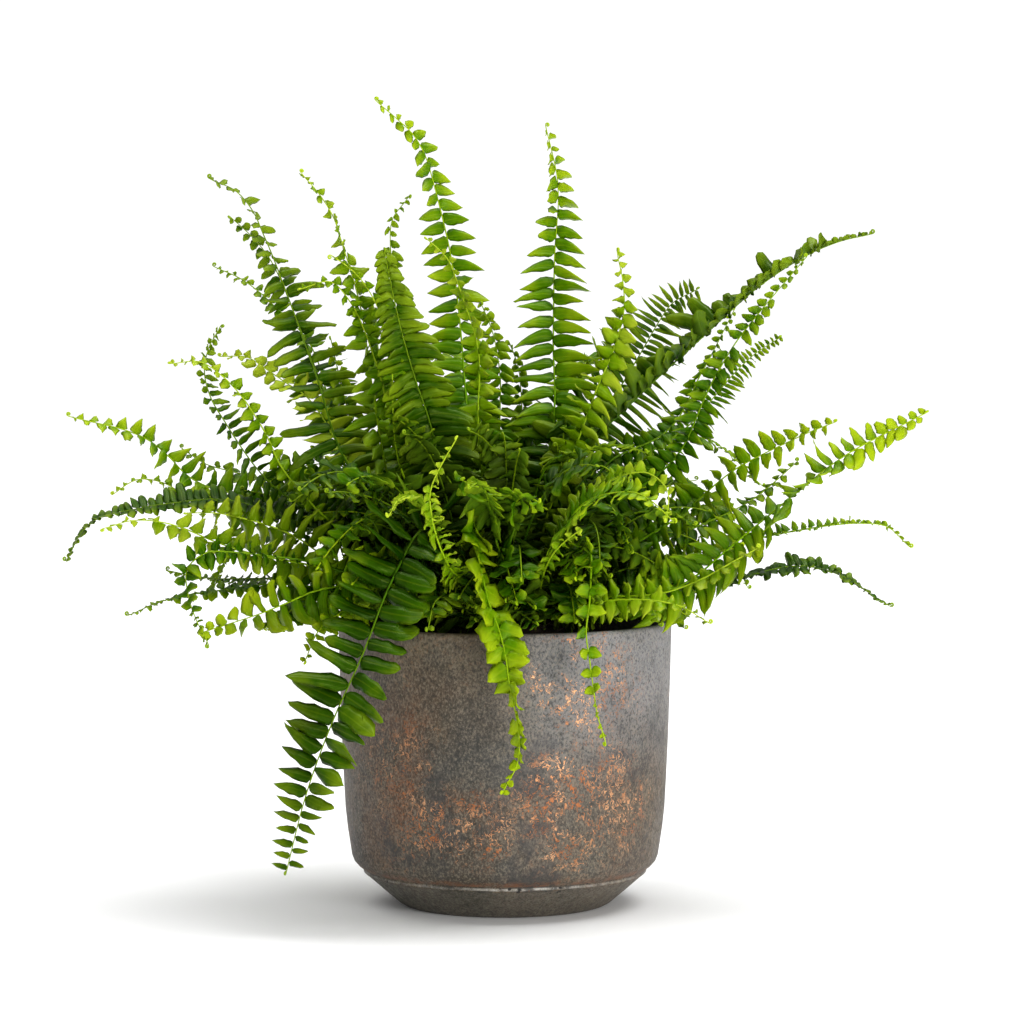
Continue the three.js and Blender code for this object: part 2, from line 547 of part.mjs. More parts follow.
// The four corners of the stalk's fork that a branch grows from, in the branch's own order.
function forkCorners({ stalk, side, corners }) {
  const [from, to] = stalk.corners.slice(FORK_SEGMENT, FORK_SEGMENT + 2);
  const round = side > 0 ? [from[1], from[2], to[2], to[1]] : [from[0], to[0], to[3], from[3]];
  const turns = round.map((_, turn) => [...round.slice(turn), ...round.slice(0, turn)]);
  const spread = (turn) => turn.reduce((sum, corner, i) => sum + corner.distanceTo(corners[0][i]), 0);
  return turns.sort((a, b) => spread(a) - spread(b))[0];
}

const bodyOf = (frond) => (frond.joint ? [frond.joint, ...frond.ribs] : frond.ribs);

// Bends a frond's middle a little, sideways to the front view first, until its midrib is clear.
const BENDS = [0, 5, -5, 10, -10, 15, -15, 20, -20, 26, -26, 33, -33];
const BEND_DIRECTIONS = [[0, 1, 0], [0, 0.8, 0.6], [1, 0, 0], [0, 0, 1], [0.7, 0.7, 0], [0.7, -0.7, 0]];

function bendClear(frond, standing) {
  const apart = standing.filter((other) => other !== frond.stalk).flatMap(bodyOf);
  const stalkRibs = frond.stalk?.ribs ?? [];
  const free = (pieces, others) => (
    pieces.every((one) => others.every((other) => clear(one, other, RIB_CLEARANCE)))
  );
  for (const direction of BEND_DIRECTIONS) {
    for (const bend of BENDS) {
      frond.stations = stationsOf(frond, vec(direction).multiplyScalar(bend));
      frond.corners = frond.stations.map(cornersOf);
      frond.ribs = ribPieces(frond);
      if (frond.stalk) {
        frond.joint = piece([...forkCorners(frond), ...frond.corners[0]], RIB_FACES, RIB_EDGES);
      }
      const body = bodyOf(frond);
      if (body.every(clearOfPot) && free(body, apart) && free(frond.ribs, stalkRibs)) return true;
    }
  }
  return false;
}

// Whether a piece keeps off the pot, the soil and the crown. Samples lie along its edges.
function clearOfPot({ points }) {
  return points.every((from, i) => points.slice(i).every((to) => (
    [0, 0.25, 0.5, 0.75, 1].every((part) => {
      const point = from.clone().lerp(to, part);
      const radius = Math.hypot(point.x, point.y);
      if (point.z < POT_CLEARANCE) return false;
      if (point.z > POT_HEIGHT + POT_CLEARANCE) return true;
      if (radius > POT_RIM_RADIUS + POT_CLEARANCE) return true;
      const inside = radius < POT_RIM_RADIUS - POT_WALL - POT_CLEARANCE;
      return inside && (radius < CROWN_RADIUS + POT_CLEARANCE || point.z > SOIL_TOP + POT_CLEARANCE);
    })
  )));
}

// A leaflet on one side of a midrib segment, as the six corners of a thin wedge.
function leaflet(frond, segment, side, size, fold) {
  const from = frond.stations[segment];
  const to = frond.stations[segment + 1];
  const here = frond.corners[segment];
  const next = frond.corners[segment + 1];
  const [above, below] = side > 0 ? [1, 2] : [0, 3];
  const middle = from.centre.clone().lerp(to.centre, 0.5);
  const way = from.way.clone().lerp(to.way, 0.5).normalize();
  const upper = from.upper.clone().lerp(to.upper, 0.5).normalize();
  const right = way.clone().cross(upper).normalize();
  const out = right.multiplyScalar(side * Math.cos(fold)).addScaledVector(upper, Math.sin(fold));
  const skin = way.clone().cross(out).multiplyScalar(-side).normalize().multiplyScalar(LEAFLET_EDGE / 2);
  const sweep = radians(LEAFLET_SWEEP);
  const tip = middle.clone()
    .addScaledVector(out, size * Math.cos(sweep))
    .addScaledVector(way, size * Math.sin(sweep));
  if (skin.dot(upper) < 0) skin.negate();
  return [here[above], next[above], here[below], next[below], tip.clone().add(skin), tip.clone().sub(skin)];
}

// A leaflet without its foot, for the test against the midrib and the leaflets beside it.
function leafletBlade([a, b, c, d, above, below]) {
  const out = (foot, tip) => foot.clone().lerp(tip, LEAFLET_FOOT);
  return piece([out(a, above), out(b, above), out(c, below), out(d, below), above, below],
    LEAFLET_FACES, LEAFLET_EDGES);
}

const LENGTHS = [1, 0.8, 0.6, 0.42];
const FOLD_CHANGES = [0, 14, -14, 28, -28];

// Leaflets grow on each segment of the blade where a length and a fold keep them clear.
function growLeaflets(frond, fronds) {
  const others = fronds.filter((other) => other !== frond);
  const obstacles = others.flatMap((other) => [...bodyOf(other), ...other.leafletPieces]);
  frond.leaflets = [];
  const blades = [];
  for (let segment = 0; segment < frond.stations.length - 1; segment += 1) {
    const along = (frond.stations[segment].blade + frond.stations[segment + 1].blade) / 2;
    if (frond.stations[segment].blade < 0) continue;
    for (const side of [-1, 1]) {
      const full = frond.leaflet * leafletShare(along, frond.taper);
      const grown = firstClear(frond, segment, side, full, obstacles, blades);
      if (grown) {
        frond.leaflets.push({ segment, side, corners: grown.corners });
        frond.leafletPieces.push(grown.whole);
        blades.push({ segment, blade: grown.blade });
      }
    }
  }
}

const ownClearance = (a, b) => (Math.abs(a - b) > 1 ? OWN_LEAFLET_CLEARANCE : NEIGHBOUR_CLEARANCE);

function firstClear(frond, segment, side, full, obstacles, blades) {
  for (const part of LENGTHS) {
    const size = full * part;
    if (size < LEAFLET_LEAST) return null;
    for (const change of FOLD_CHANGES) {
      const fold = clamp((frond.fold ?? USUAL_FOLD) + change, -STEEPEST_FOLD, STEEPEST_FOLD);
      const corners = leaflet(frond, segment, side, size, radians(fold));
      const whole = piece(corners, LEAFLET_FACES, LEAFLET_EDGES);
      const blade = leafletBlade(corners);
      const free = clearOfPot(whole)
        && frond.ribs.every((rib, i) => i === segment || clear(blade, rib, NEIGHBOUR_CLEARANCE))
        && blades.every((other) => clear(blade, other.blade, ownClearance(other.segment, segment)))
        && obstacles.every((other) => clear(whole, other, LEAF_CLEARANCE));
      if (free) return { corners, whole, blade };
    }
  }
  return null;
}

// Corner points of faces, three by three, turned so that they look out.
class Skin {
  points = [];

  triangle(...corners) {
    this.points.push(...corners);
  }

  quad(a, b, c, d) {
    this.triangle(a, b, c);
    this.triangle(a, c, d);
  }

  midrib(frond) {
    frond.corners.slice(1).forEach((to, segment) => {
      const from = frond.corners[segment];
      const grown = (side) => frond.leaflets.find((one) => one.segment === segment && one.side === side);
      const forks = (side) => segment === FORK_SEGMENT && frond.branches?.some((one) => one.side === side);
      this.quad(from[0], from[1], to[1], to[0]);
      this.triangle(from[3], to[2], from[2]);
      this.triangle(from[3], to[3], to[2]);
      if (grown(1)) this.rightLeaflet(grown(1).corners);
      else if (!forks(1)) this.quad(from[1], from[2], to[2], to[1]);
      if (grown(-1)) this.leftLeaflet(grown(-1).corners);
      else if (!forks(-1)) this.quad(from[0], to[0], to[3], from[3]);
    });
    this.tip(frond);
  }

  rightLeaflet([a, b, c, d, above, below]) {
    this.triangle(a, above, b);
    this.triangle(c, d, below);
    this.quad(b, above, below, d);
    this.quad(a, c, below, above);
  }

  leftLeaflet([a, b, c, d, above, below]) {
    this.triangle(a, b, above);
    this.triangle(c, below, d);
    this.quad(b, d, below, above);
    this.quad(a, above, below, c);
  }

  tip(frond) {
    const end = frond.corners.at(-1);
    const { centre, way, upper } = frond.stations.at(-1);
    const tip = centre.clone().addScaledVector(way, LEAFLET_LEAST);
    const above = tip.clone().addScaledVector(upper, LEAFLET_EDGE / 2);
    const below = tip.clone().addScaledVector(upper, -LEAFLET_EDGE / 2);
    this.triangle(end[0], end[1], above);
    this.triangle(end[3], below, end[2]);
    this.quad(end[1], end[2], below, above);
    this.quad(end[0], above, below, end[3]);
  }

  joint(branch) {
    const start = forkCorners(branch);
    const [end] = branch.corners;
    start.forEach((corner, i) => {
      const next = (i + 1) % start.length;
      this.quad(corner, start[next], end[next], end[i]);
    });
  }
}

function frondGeometry(frond) {
  const skin = new Skin();
  const [foot] = frond.corners;
  skin.quad(foot[0], foot[3], foot[2], foot[1]);
  skin.midrib(frond);
  for (const branch of frond.branches ?? []) {
    skin.joint(branch);
    skin.midrib(branch);
  }
  return new THREE.BufferGeometry().setFromPoints(skin.points);
}

// The hole that a stalk stands in: a square prism from its floor to above the crown.
function holeSolid({ place, stations }) {
  const [{ upper, right, way }] = stations;
  const wide = RIB_WIDTH + 2 * HOLE_CLEARANCE;
  const deep = STALK_THICKNESS + 2 * HOLE_CLEARANCE;
  const prism = new THREE.BoxGeometry(deep, wide, HOLE_DEPTH + 2 * STALK_RISE);
  const turn = new THREE.Matrix4().makeBasis(upper, right, way);
  turn.setPosition(place.x, place.y, place.z - HOLE_DEPTH / 2 + STALK_RISE);
  return solidOf(prism.applyMatrix4(turn));
}

function named(name, geometry, colour, roughness, metalness = 0) {
  const material = new THREE.MeshStandardMaterial({ color: colour, roughness, metalness });
  const mesh = new THREE.Mesh(geometry, material);
  mesh.name = name;
  return mesh;
}

// A branch leaves its stalk on the side that it leans to, or else on the other side.
function standBranch(branch, stalk, standing) {
  const lean = vec(branch.route[0]).sub(vec(stalk.route[0])).dot(stalk.stations[0].right);
  const taken = stalk.branches.map((other) => other.side);
  const sides = (lean > 0 ? [1, -1] : [-1, 1]).filter((side) => !taken.includes(side));
  branch.stalk = stalk;
  for (const side of sides) {
    branch.side = side;
    if (stand(branch, standing)) return;
  }
  throw new Error(`a branch of ${stalk.name} has no clear way`);
}

function stand(frond, standing) {
  frond.leafletPieces = [];
  if (!bendClear(frond, standing)) return false;
  standing.push(frond);
  return true;
}

const stalks = [...FRONDS, ...ruledFronds()];
plant(stalks);
const fronds = [];
for (const stalk of stalks) {
  if (!stand(stalk, fronds)) throw new Error(`${stalk.name} has no clear way`);
  for (const branch of stalk.branches ?? []) standBranch(branch, stalk, fronds);
}
for (const frond of fronds) growLeaflets(frond, fronds);

const group = new THREE.Group();
group.add(named('pot', potGeometry(), COLOURS.pot, 0.55, 0.35));
group.add(named('soil', soilGeometry(), COLOURS.soil, 0.95));
group.add(named('crown', crownGeometry(stalks.map(holeSolid)), COLOURS.crown, 0.9));
for (const frond of stalks) {
  group.add(named(`frond_${frond.name}`, frondGeometry(frond), COLOURS[frond.tone], 0.5));
}

export default group;
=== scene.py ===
"""A Boston fern in a round pot with a dark copper patina, dressed over its plain solids. Metres, +Z up."""

import json
import math

import bpy
import numpy as np
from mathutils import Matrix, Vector, noise


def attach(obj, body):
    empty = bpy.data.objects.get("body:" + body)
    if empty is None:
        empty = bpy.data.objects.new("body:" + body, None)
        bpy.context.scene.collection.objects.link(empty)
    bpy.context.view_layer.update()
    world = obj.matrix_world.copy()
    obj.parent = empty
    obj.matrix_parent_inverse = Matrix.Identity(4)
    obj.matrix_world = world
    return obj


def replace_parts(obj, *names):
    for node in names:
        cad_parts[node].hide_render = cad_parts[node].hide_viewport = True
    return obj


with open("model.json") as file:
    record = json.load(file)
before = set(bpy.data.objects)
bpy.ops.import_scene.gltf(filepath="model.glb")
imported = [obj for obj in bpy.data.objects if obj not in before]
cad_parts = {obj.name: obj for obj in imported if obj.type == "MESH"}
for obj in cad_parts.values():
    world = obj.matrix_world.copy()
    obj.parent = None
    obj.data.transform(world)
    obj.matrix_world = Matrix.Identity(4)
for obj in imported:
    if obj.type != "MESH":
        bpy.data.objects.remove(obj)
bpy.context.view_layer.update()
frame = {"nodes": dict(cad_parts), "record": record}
MM = 0.001
rng = np.random.default_rng(24)

# Camera of the photograph.
CAMERA_AT = (4 * MM, -1990 * MM, 325.6 * MM)
CAMERA_PITCH_DEG = 2.95
CAMERA_LENS_MM = 123.0
CAMERA_SENSOR_MM = 36

# Reading the solids: points closer than MERGE are one, and only a section's own edges are this short.
SECTION_EDGE = 2.3 * MM
MERGE = 0.002 * MM

# Leaflets, with rows of points along them and columns across.
ROWS = 9
COLUMNS = 5
LEAF_THICKNESS = 0.26 * MM
WIDEST_OF_LENGTH = 0.95
LEAST_LEAFLET = 2.8 * MM
LONGEST_LEAFLET_MM = 60
LEAF_FOOT = 0.3 * MM
FADE_BELOW_BLADE = 30 * MM
TIP_SHARE = 0.1
END_TWIST_FROM = 0.7
ANY_PHASE = (0, 6.3)

# Midribs, as tubes with a coiled tip.
RIB_SIDES = 6
RIB_STEP = 3 * MM
RIB_FOOT_RADIUS = 0.95 * MM
RIB_TIP_RADIUS = 0.3 * MM
CURL_STEPS = 14
CURL_STEP = 0.42 * MM
CURL_RADII = (1.5 * MM, 0.5 * MM)

# Pot, soil and crown. The gap keeps leaves just off them.
POT_TURNS = 160
POT_TOP = 161.3 * MM
POT_INNER = 88 * MM
POT_WALL_MIDDLE = POT_INNER + 3.5 * MM
POT_FLOOR = 8 * MM
BED_TURNS = 120
BED_RINGS = 25
SOIL_EDGE = 86 * MM
SOIL_TOP = 147 * MM
SOIL_DEPTH = 12 * MM
CROWN_EDGE = 64 * MM
CROWN_LOW = 152.3 * MM
CROWN_TOP = 165 * MM
CROWN_SUNK = 4 * MM
FIBRES = 600
FIBRE_STEPS = 6
LEAF_GAP = 0.5 * MM

# The pot's outside from its base to the turn of its rim, then its inside, as radius and height.
POT_OUTSIDE = [(radius * MM, height * MM) for radius, height in (
    (56, 0), (59, 0.3), (61.2, 1.5), (70, 9.0), (79.0, 16.9), (80.0, 17.6), (80.8, 18.3), (81.0, 19.1),
    (80.9, 20.0), (81.4, 20.7), (84.0, 22.4), (86.2, 24.9), (87.5, 28.2), (88.5, 34.7), (89.9, 44),
    (91.1, 55), (91.9, 70), (93.0, 94), (94.2, 130), (94.9, 158.9), (94.5, 160.4),
)]
POT_INSIDE = [(radius * MM, height * MM) for radius, height in (
    (93.4, 161.2), (91.5, 161.3), (89.6, 161.2), (88.5, 160.4), (88, 158.9), (84.3, 57), (81.5, 35.7),
    (76.3, 22.8), (59, 8),
)]


def srgb(r, g, b):
    """An 8-bit screen colour as the linear colour that shaders take."""
    def linear(v):
        v /= 255
        return v / 12.92 if v <= 0.04045 else ((v + 0.055) / 1.055) ** 2.4
    return linear(r), linear(g), linear(b), 1.0


class Shader:
    """A material's node tree with short ways to add and link nodes."""

    def __init__(self, name):
        self.material = bpy.data.materials.new(name)
        self.material.use_nodes = True
        self.tree = self.material.node_tree
        self.tree.nodes.clear()

    def add(self, kind, inputs=(), **settings):
        """A node with settings, and with a value or another node's output at each of these inputs."""
        node = self.tree.nodes.new(kind)
        for key, value in settings.items():
            setattr(node, key, value)
        for key, value in dict(inputs).items():
            if isinstance(value, bpy.types.NodeSocket):
                self.tree.links.new(value, node.inputs[key])
            else:
                node.inputs[key].default_value = value
        return node

    def math(self, operation, *values, clamp=False):
        node = self.add("ShaderNodeMath", enumerate(values), operation=operation, use_clamp=clamp)
        return node.outputs[0]

    def times(self, first, *others):
        for other in others:
            first = self.math("MULTIPLY", first, other)
        return first

    def plus(self, first, *others):
        for other in others:
            first = self.math("ADD", first, other)
        return first

    def minus(self, a, b):
        return self.math("SUBTRACT", a, b)

    def far(self, a, b):
        """How far a point at a and b lies from the middle."""
        return self.math("SQRT", self.plus(self.times(a, a), self.times(b, b)))

    def place(self):
        """Where a point lies on its object."""
        return self.add("ShaderNodeTexCoord").outputs["Object"]

    def parts(self, vector):
        return self.add("ShaderNodeSeparateXYZ", {0: vector}).outputs

    def mix(self, factor, a, b):
        return self.add("ShaderNodeMix", {0: factor, 6: a, 7: b}, data_type="RGBA").outputs[2]

    def noise(self, vector, scale, detail=4.0, roughness=0.55, distortion=0.0):
        return self.add("ShaderNodeTexNoise", {
            "Vector": vector, "Scale": scale, "Detail": detail, "Roughness": roughness,
            "Distortion": distortion}).outputs["Fac"]

    def ramp(self, factor, *stops):
        """Colours or grey values at places from 0 to 1."""
        node = self.add("ShaderNodeValToRGB", {0: factor})
        elements = node.color_ramp.elements
        while len(elements) < len(stops):
            elements.new(0.5)
        for element, (place, value) in zip(elements, stops):
            element.position = place
            element.color = value if isinstance(value, tuple) else (value, value, value, 1)
        return node.outputs[0]

    def between(self, value, low, high):
        """0 at the low value, 1 at the high one, smooth between them. Low may be above high."""
        return self.add("ShaderNodeMapRange", {"Value": value, "From Min": low, "From Max": high},
                        interpolation_type="SMOOTHSTEP").outputs["Result"]

    def bump(self, height, distance, strength):
        inputs = {"Height": height, "Distance": distance, "Strength": strength}
        return self.add("ShaderNodeBump", inputs).outputs[0]

    def principled(self, colour, roughness, metallic=0.0, **others):
        """The other inputs go by their names, with _ for a space."""
        inputs = {"Base Color": colour, "Roughness": roughness, "Metallic": metallic}
        inputs.update({name.replace("_", " "): value for name, value in others.items()})
        return self.add("ShaderNodeBsdfPrincipled", inputs).outputs[0]

    def show(self, surface):
        self.add("ShaderNodeOutputMaterial", {"Surface": surface})
        return self.material


# Leaf colours by tone: beside the midrib, in the middle and at the tip, then the light that comes through.
TONES = {
    "frond_young": (srgb(82, 128, 0), srgb(128, 166, 4), srgb(190, 208, 48), srgb(184, 214, 4)),
    "frond_fresh": (srgb(44, 98, 0), srgb(98, 146, 0), srgb(184, 206, 24), srgb(172, 210, 0)),
    "frond_mature": (srgb(28, 72, 0), srgb(66, 114, 0), srgb(156, 184, 18), srgb(134, 180, 0)),
    "frond_dark": (srgb(22, 56, 0), srgb(52, 94, 0), srgb(140, 168, 22), srgb(100, 150, 0)),
}
# Leaves mirror less blue than other light.
SHEEN_TINT = (0.76, 1.0, 0.2, 1.0)


def leaf_maps(s):
    """How far along and across the leaflet a point lies, its own random value, and how far along the
    frond it grows."""
    outputs = []
    for name in ("leaf", "grow"):
        outputs += s.parts(s.add("ShaderNodeUVMap", uv_map=name).outputs[0])[:2]
    return outputs


def leaf_material(tone, under):
    """A leaflet's upper side, or its paler underside."""
    deep, middle, light, through = TONES[tone]
    s = Shader(f"{tone}_{'under' if under else 'upper'}")
    along, across, own, grown = leaf_maps(s)
    place = s.place()

    # A leaf pales with age, towards its point and edges, and with a fine mottle.
    mottle = s.noise(place, 90, detail=3)
    off_middle = s.times(s.math("ABSOLUTE", s.minus(across, 0.5)), 2.0)
    age = s.plus(s.times(own, 0.34), s.times(s.math("POWER", grown, 2.2), 0.5))
    out = s.plus(s.times(s.math("POWER", along, 1.2), 0.5), age,
                 s.times(s.math("POWER", off_middle, 2.0), 0.1))
    blend = s.plus(out, s.times(s.minus(mottle, 0.5), 0.7))
    colour = s.ramp(blend, (0.12, deep), (0.48, middle), (1.0, light))
    rib = s.ramp(off_middle, (0.02, 1.0), (0.14, 0.0))
    colour = s.mix(s.times(rib, 0.18), colour, light)
    if under:
        colour = s.mix(0.3, colour, srgb(132, 160, 40))
    # Painted shade: leaves deep in the crown, and low at both sides of it, are darkened towards near black
    # where shade falls among the fronds.
    x, y, z = s.parts(place)
    radius = s.far(x, y)
    painted_shade_deep = s.times(s.between(radius, 105 * MM, 55 * MM), s.between(z, 290 * MM, 210 * MM), 0.7)
    beside = s.times(s.between(s.math("ABSOLUTE", x), 85 * MM, 110 * MM),
                     s.between(radius, 190 * MM, 150 * MM), s.between(z, 262 * MM, 215 * MM), 0.34)
    colour = s.mix(s.math("MAXIMUM", painted_shade_deep, beside), colour, srgb(8, 28, 0))
    # Side veins slant from the middle rib to the edge, and fade towards the small leaflets of the tip.
    veins = s.math("ABSOLUTE", s.math("SINE", s.minus(s.times(along, 46.0), s.times(off_middle, 9.0))))
    veins = s.times(veins, s.between(grown, 0.8, 0.4))
    height = s.plus(s.times(veins, 0.45), s.times(rib, -1.2), s.times(s.noise(place, 420, detail=2), 0.5))
    normal = s.bump(height, 0.13 * MM, 0.6)
    rough = s.plus(s.times(mottle, 0.2), 0.52 if under else 0.2)
    skin = s.principled(colour, rough, Normal=normal, Specular_IOR_Level=0.12 if under else 0.3,
                        Specular_Tint=SHEEN_TINT)
    glow = s.add("ShaderNodeBsdfTranslucent", {"Color": s.mix(0.4, through, colour), "Normal": normal})
    return s.show(s.add("ShaderNodeMixShader", {0: 0.34, 1: skin, 2: glow.outputs[0]}).outputs[0])


def stalk_material(tone):
    """A green midrib that turns brown and scaly towards the crown."""
    _, middle, light, _ = TONES[tone]
    s = Shader(f"{tone}_stalk")
    along = leaf_maps(s)[0]
    grain = s.noise(s.place(), 700)
    colour = s.ramp(along, (0.0, srgb(50, 32, 16)), (0.16, srgb(76, 68, 20)), (0.42, middle), (0.95, light))
    colour = s.mix(s.times(grain, 0.6), colour, middle)
    normal = s.bump(grain, 0.15 * MM, 0.5)
    return s.show(s.principled(colour, 0.5, Normal=normal, Specular_IOR_Level=0.3,
                               Specular_Tint=SHEEN_TINT))


def pot_material():
    """A grainy grey-brown glaze with blue-grey clouds, rust and bright copper flecks, worn at the seam, with
    a painted sheen at the upper right and painted shade inside the rim.
    """
    s = Shader("pot_patina")
    place = s.place()
    x, y, z = s.parts(place)
    # Brushed up and down, a little aslant.
    brushed = s.add("ShaderNodeMapping", {
        "Vector": place, "Rotation": (0.0, 0.35, 0.0), "Scale": (1.0, 1.0, 0.75)}).outputs[0]
    clouds = s.noise(place, 12, detail=5, roughness=0.6)
    mottle = s.noise(brushed, 260, detail=5, roughness=0.7, distortion=0.4)
    grain = s.noise(brushed, 800, roughness=0.75)

    def spot(at_x, at_z, wide, high):
        """1 in the middle of an upright oval, 0 outside it, with its place and half widths in mm."""
        out = s.math("DIVIDE", s.minus(x, at_x * MM), wide * MM)
        up = s.math("DIVIDE", s.minus(z, at_z * MM), high * MM)
        return s.between(s.far(out, up), 1.0, 0.3)

    base = s.ramp(clouds, (0.36, srgb(50, 42, 31)), (0.5, srgb(74, 63, 47)), (0.66, srgb(100, 88, 68)))
    blue = s.ramp(s.noise(place, 17, detail=6, roughness=0.65, distortion=0.5), (0.42, 0.0), (0.62, 1.0))
    base = s.mix(s.times(blue, 0.5), base, srgb(74, 78, 76))
    rust = s.ramp(s.noise(place, 21, detail=6, roughness=0.65, distortion=0.7), (0.46, 0.0), (0.64, 1.0))
    rusty = s.plus(s.times(spot(-58, 78, 42, 62), 0.6), 0.3)
    base = s.mix(s.times(rust, rusty), base, srgb(100, 68, 42))
    # A painted sheen: a pale bluish-grey patch on the upper right of the front, a highlight where the light
    # falls.
    painted_sheen = s.times(s.between(x, -20 * MM, 62 * MM), s.between(z, 62 * MM, 140 * MM),
                    s.ramp(clouds, (0.35, 0.45), (0.6, 0.85)))
    base = s.mix(painted_sheen, base, srgb(154, 155, 158))
    # Each speck of the grain is darker or paler than its neighbours.
    base = s.mix(s.ramp(mottle, (0.36, 0.45), (0.5, 0.0)), base, srgb(42, 38, 31))
    base = s.mix(s.ramp(mottle, (0.52, 0.0), (0.66, 0.28)), base, srgb(112, 101, 82))
    base = s.mix(s.ramp(grain, (0.38, 0.8), (0.5, 0.0)), base, srgb(30, 28, 23))
    base = s.mix(s.ramp(grain, (0.51, 0.0), (0.63, 0.55)), base, srgb(136, 124, 105))
    # Sooty patches, most of them low down.
    soot = s.ramp(s.noise(place, 34, detail=6, roughness=0.7), (0.5, 0.0), (0.62, 0.75))
    base = s.mix(s.times(soot, s.between(z, 140 * MM, 70 * MM)), base, srgb(44, 43, 43))

    # Short curved strokes of copper, gathered in patches.
    strokes = []
    for scale, at in ((330, brushed), (290, place)):
        wander = s.noise(at, scale, detail=1.5, distortion=0.9)
        line = s.ramp(s.math("ABSOLUTE", s.minus(wander, 0.5)), (0.015, 1.0), (0.032, 0.0))
        broken = s.ramp(s.noise(at, 0.75 * scale, detail=2, distortion=0.3), (0.505, 0.0), (0.535, 1.0))
        strokes.append(s.times(line, broken))
    stroke = s.math("MAXIMUM", *strokes)
    where = s.math("MAXIMUM", spot(43, 66, 46, 46), spot(43, 138, 40, 42))
    left = s.math("MAXIMUM", spot(-25, 53, 42, 30), s.times(spot(-57, 84, 32, 40), 0.45))
    where = s.math("MAXIMUM", where, s.times(left, 0.8))
    torn = s.plus(s.noise(place, 24, detail=6, roughness=0.75), s.times(where, 0.06))
    patch = s.times(s.ramp(torn, (0.48, 0.0), (0.62, 1.0)), s.plus(s.times(where, 0.92), 0.08))
    copper = s.math("MULTIPLY", s.times(stroke, patch), 2.6, clamp=True)
    tint = s.ramp(s.noise(place, 60), (0.4, srgb(158, 94, 52)), (0.6, srgb(216, 160, 114)))
    # A weak stain of the same copper lies round the strokes.
    stain = s.times(patch, s.ramp(mottle, (0.45, 0.0), (0.65, 0.34)))
    base = s.mix(stain, base, srgb(116, 76, 46))
    colour = s.mix(copper, base, tint)

    # The foot is plainer and a little lighter, partly its own colour and partly painted light thrown up from
    # the floor; a rusty line lies over the seam, and the seam's ridge is worn pale.
    foot = s.between(z, 18.5 * MM, 16.5 * MM)
    plain = s.mix(s.ramp(clouds, (0.4, 0.0), (0.6, 1.0)), srgb(74, 71, 59), srgb(100, 91, 78))
    plain = s.mix(s.ramp(mottle, (0.42, 0.0), (0.6, 0.6)), plain, srgb(112, 106, 92))
    plain = s.mix(s.ramp(grain, (0.42, 0.7), (0.54, 0.0)), plain, srgb(40, 39, 33))
    colour = s.mix(s.times(foot, 0.8), colour, plain)
    scratchy = s.ramp(s.noise(place, 110, detail=7, roughness=0.85), (0.44, 0.0), (0.6, 1.0))
    line = s.times(s.between(z, 20.4 * MM, 21.4 * MM), s.between(z, 25 * MM, 22.0 * MM))
    colour = s.mix(s.times(line, scratchy, 0.75), colour, srgb(122, 74, 42))
    wavy_z = s.plus(z, s.times(s.minus(s.noise(place, 60, detail=3), 0.5), 2.2 * MM))
    ridge = s.times(s.between(wavy_z, 18.2 * MM, 18.8 * MM), s.between(wavy_z, 20.1 * MM, 19.5 * MM))
    worn = s.times(ridge, s.plus(s.times(scratchy, 0.8), 0.1),
                   s.plus(s.times(spot(12, 19, 40, 40), 0.6), 0.4))
    colour = s.mix(worn, colour, srgb(186, 182, 172))
    pits = s.ramp(s.noise(place, 330, detail=1), (0.27, 1.0), (0.3, 0.0))
    pits = s.times(pits, s.between(z, 15 * MM, 17 * MM), s.between(z, 24 * MM, 21 * MM))
    colour = s.mix(pits, colour, srgb(24, 22, 20))

    # Inside the rim the wall is darkened with painted shade.
    painted_shade_inside = s.times(s.between(s.far(x, y), 93.2 * MM, 91.4 * MM), s.between(z, 100 * MM, 120 * MM), 0.88)
    colour = s.mix(painted_shade_inside, colour, srgb(24, 22, 19))

    rough = s.minus(s.ramp(mottle, (0.3, 0.7), (0.7, 0.46)), s.times(copper, 0.2))
    height = s.plus(s.times(grain, 0.45), s.times(mottle, 0.9), s.times(copper, 0.35),
                    s.times(pits, -1.5))
    normal = s.bump(height, 0.5 * MM, 0.6)
    return s.show(s.principled(colour, rough, s.times(copper, 0.55), Normal=normal))


def earth_material(name, dark, light, scale):
    """Soil, or the scaly rhizomes of the crown."""
    s = Shader(name)
    place = s.place()
    coarse = s.noise(place, scale, detail=6, roughness=0.7)
    fine = s.noise(place, scale * 5)
    colour = s.mix(s.ramp(coarse, (0.4, 0.0), (0.65, 1.0)), dark, light)
    colour = s.mix(s.ramp(fine, (0.62, 0.0), (0.72, 0.6)), colour, srgb(120, 92, 62))
    normal = s.bump(s.plus(coarse, s.times(fine, 0.5)), 1.5 * MM, 0.8)
    return s.show(s.principled(colour, 0.9, Normal=normal))


def mesh_object(name, points, faces, materials, face_slots=None, maps=None):
    """A linked object. Maps are UV maps by name, with a pair for each point."""
    mesh = bpy.data.meshes.new(name)
    mesh.from_pydata([tuple(p) for p in points], [], faces)
    for material in materials:
        mesh.materials.append(material)
    if face_slots is not None:
        mesh.polygons.foreach_set("material_index", np.asarray(face_slots, np.int32))
    if maps is not None:
        corners = np.empty(len(mesh.loops), np.int64)
        mesh.loops.foreach_get("vertex_index", corners)
        for key, pairs in maps.items():
            mesh.uv_layers.new(name=key).data.foreach_set("uv", pairs[corners].astype(np.float32).ravel())
    mesh.polygons.foreach_set("use_smooth", np.ones(len(mesh.polygons), bool))
    mesh.update()
    made = bpy.data.objects.new(name, mesh)
    bpy.context.scene.collection.objects.link(made)
    return made


def unit(v):
    return v / np.maximum(np.linalg.norm(v, axis=-1, keepdims=True), 1e-12)


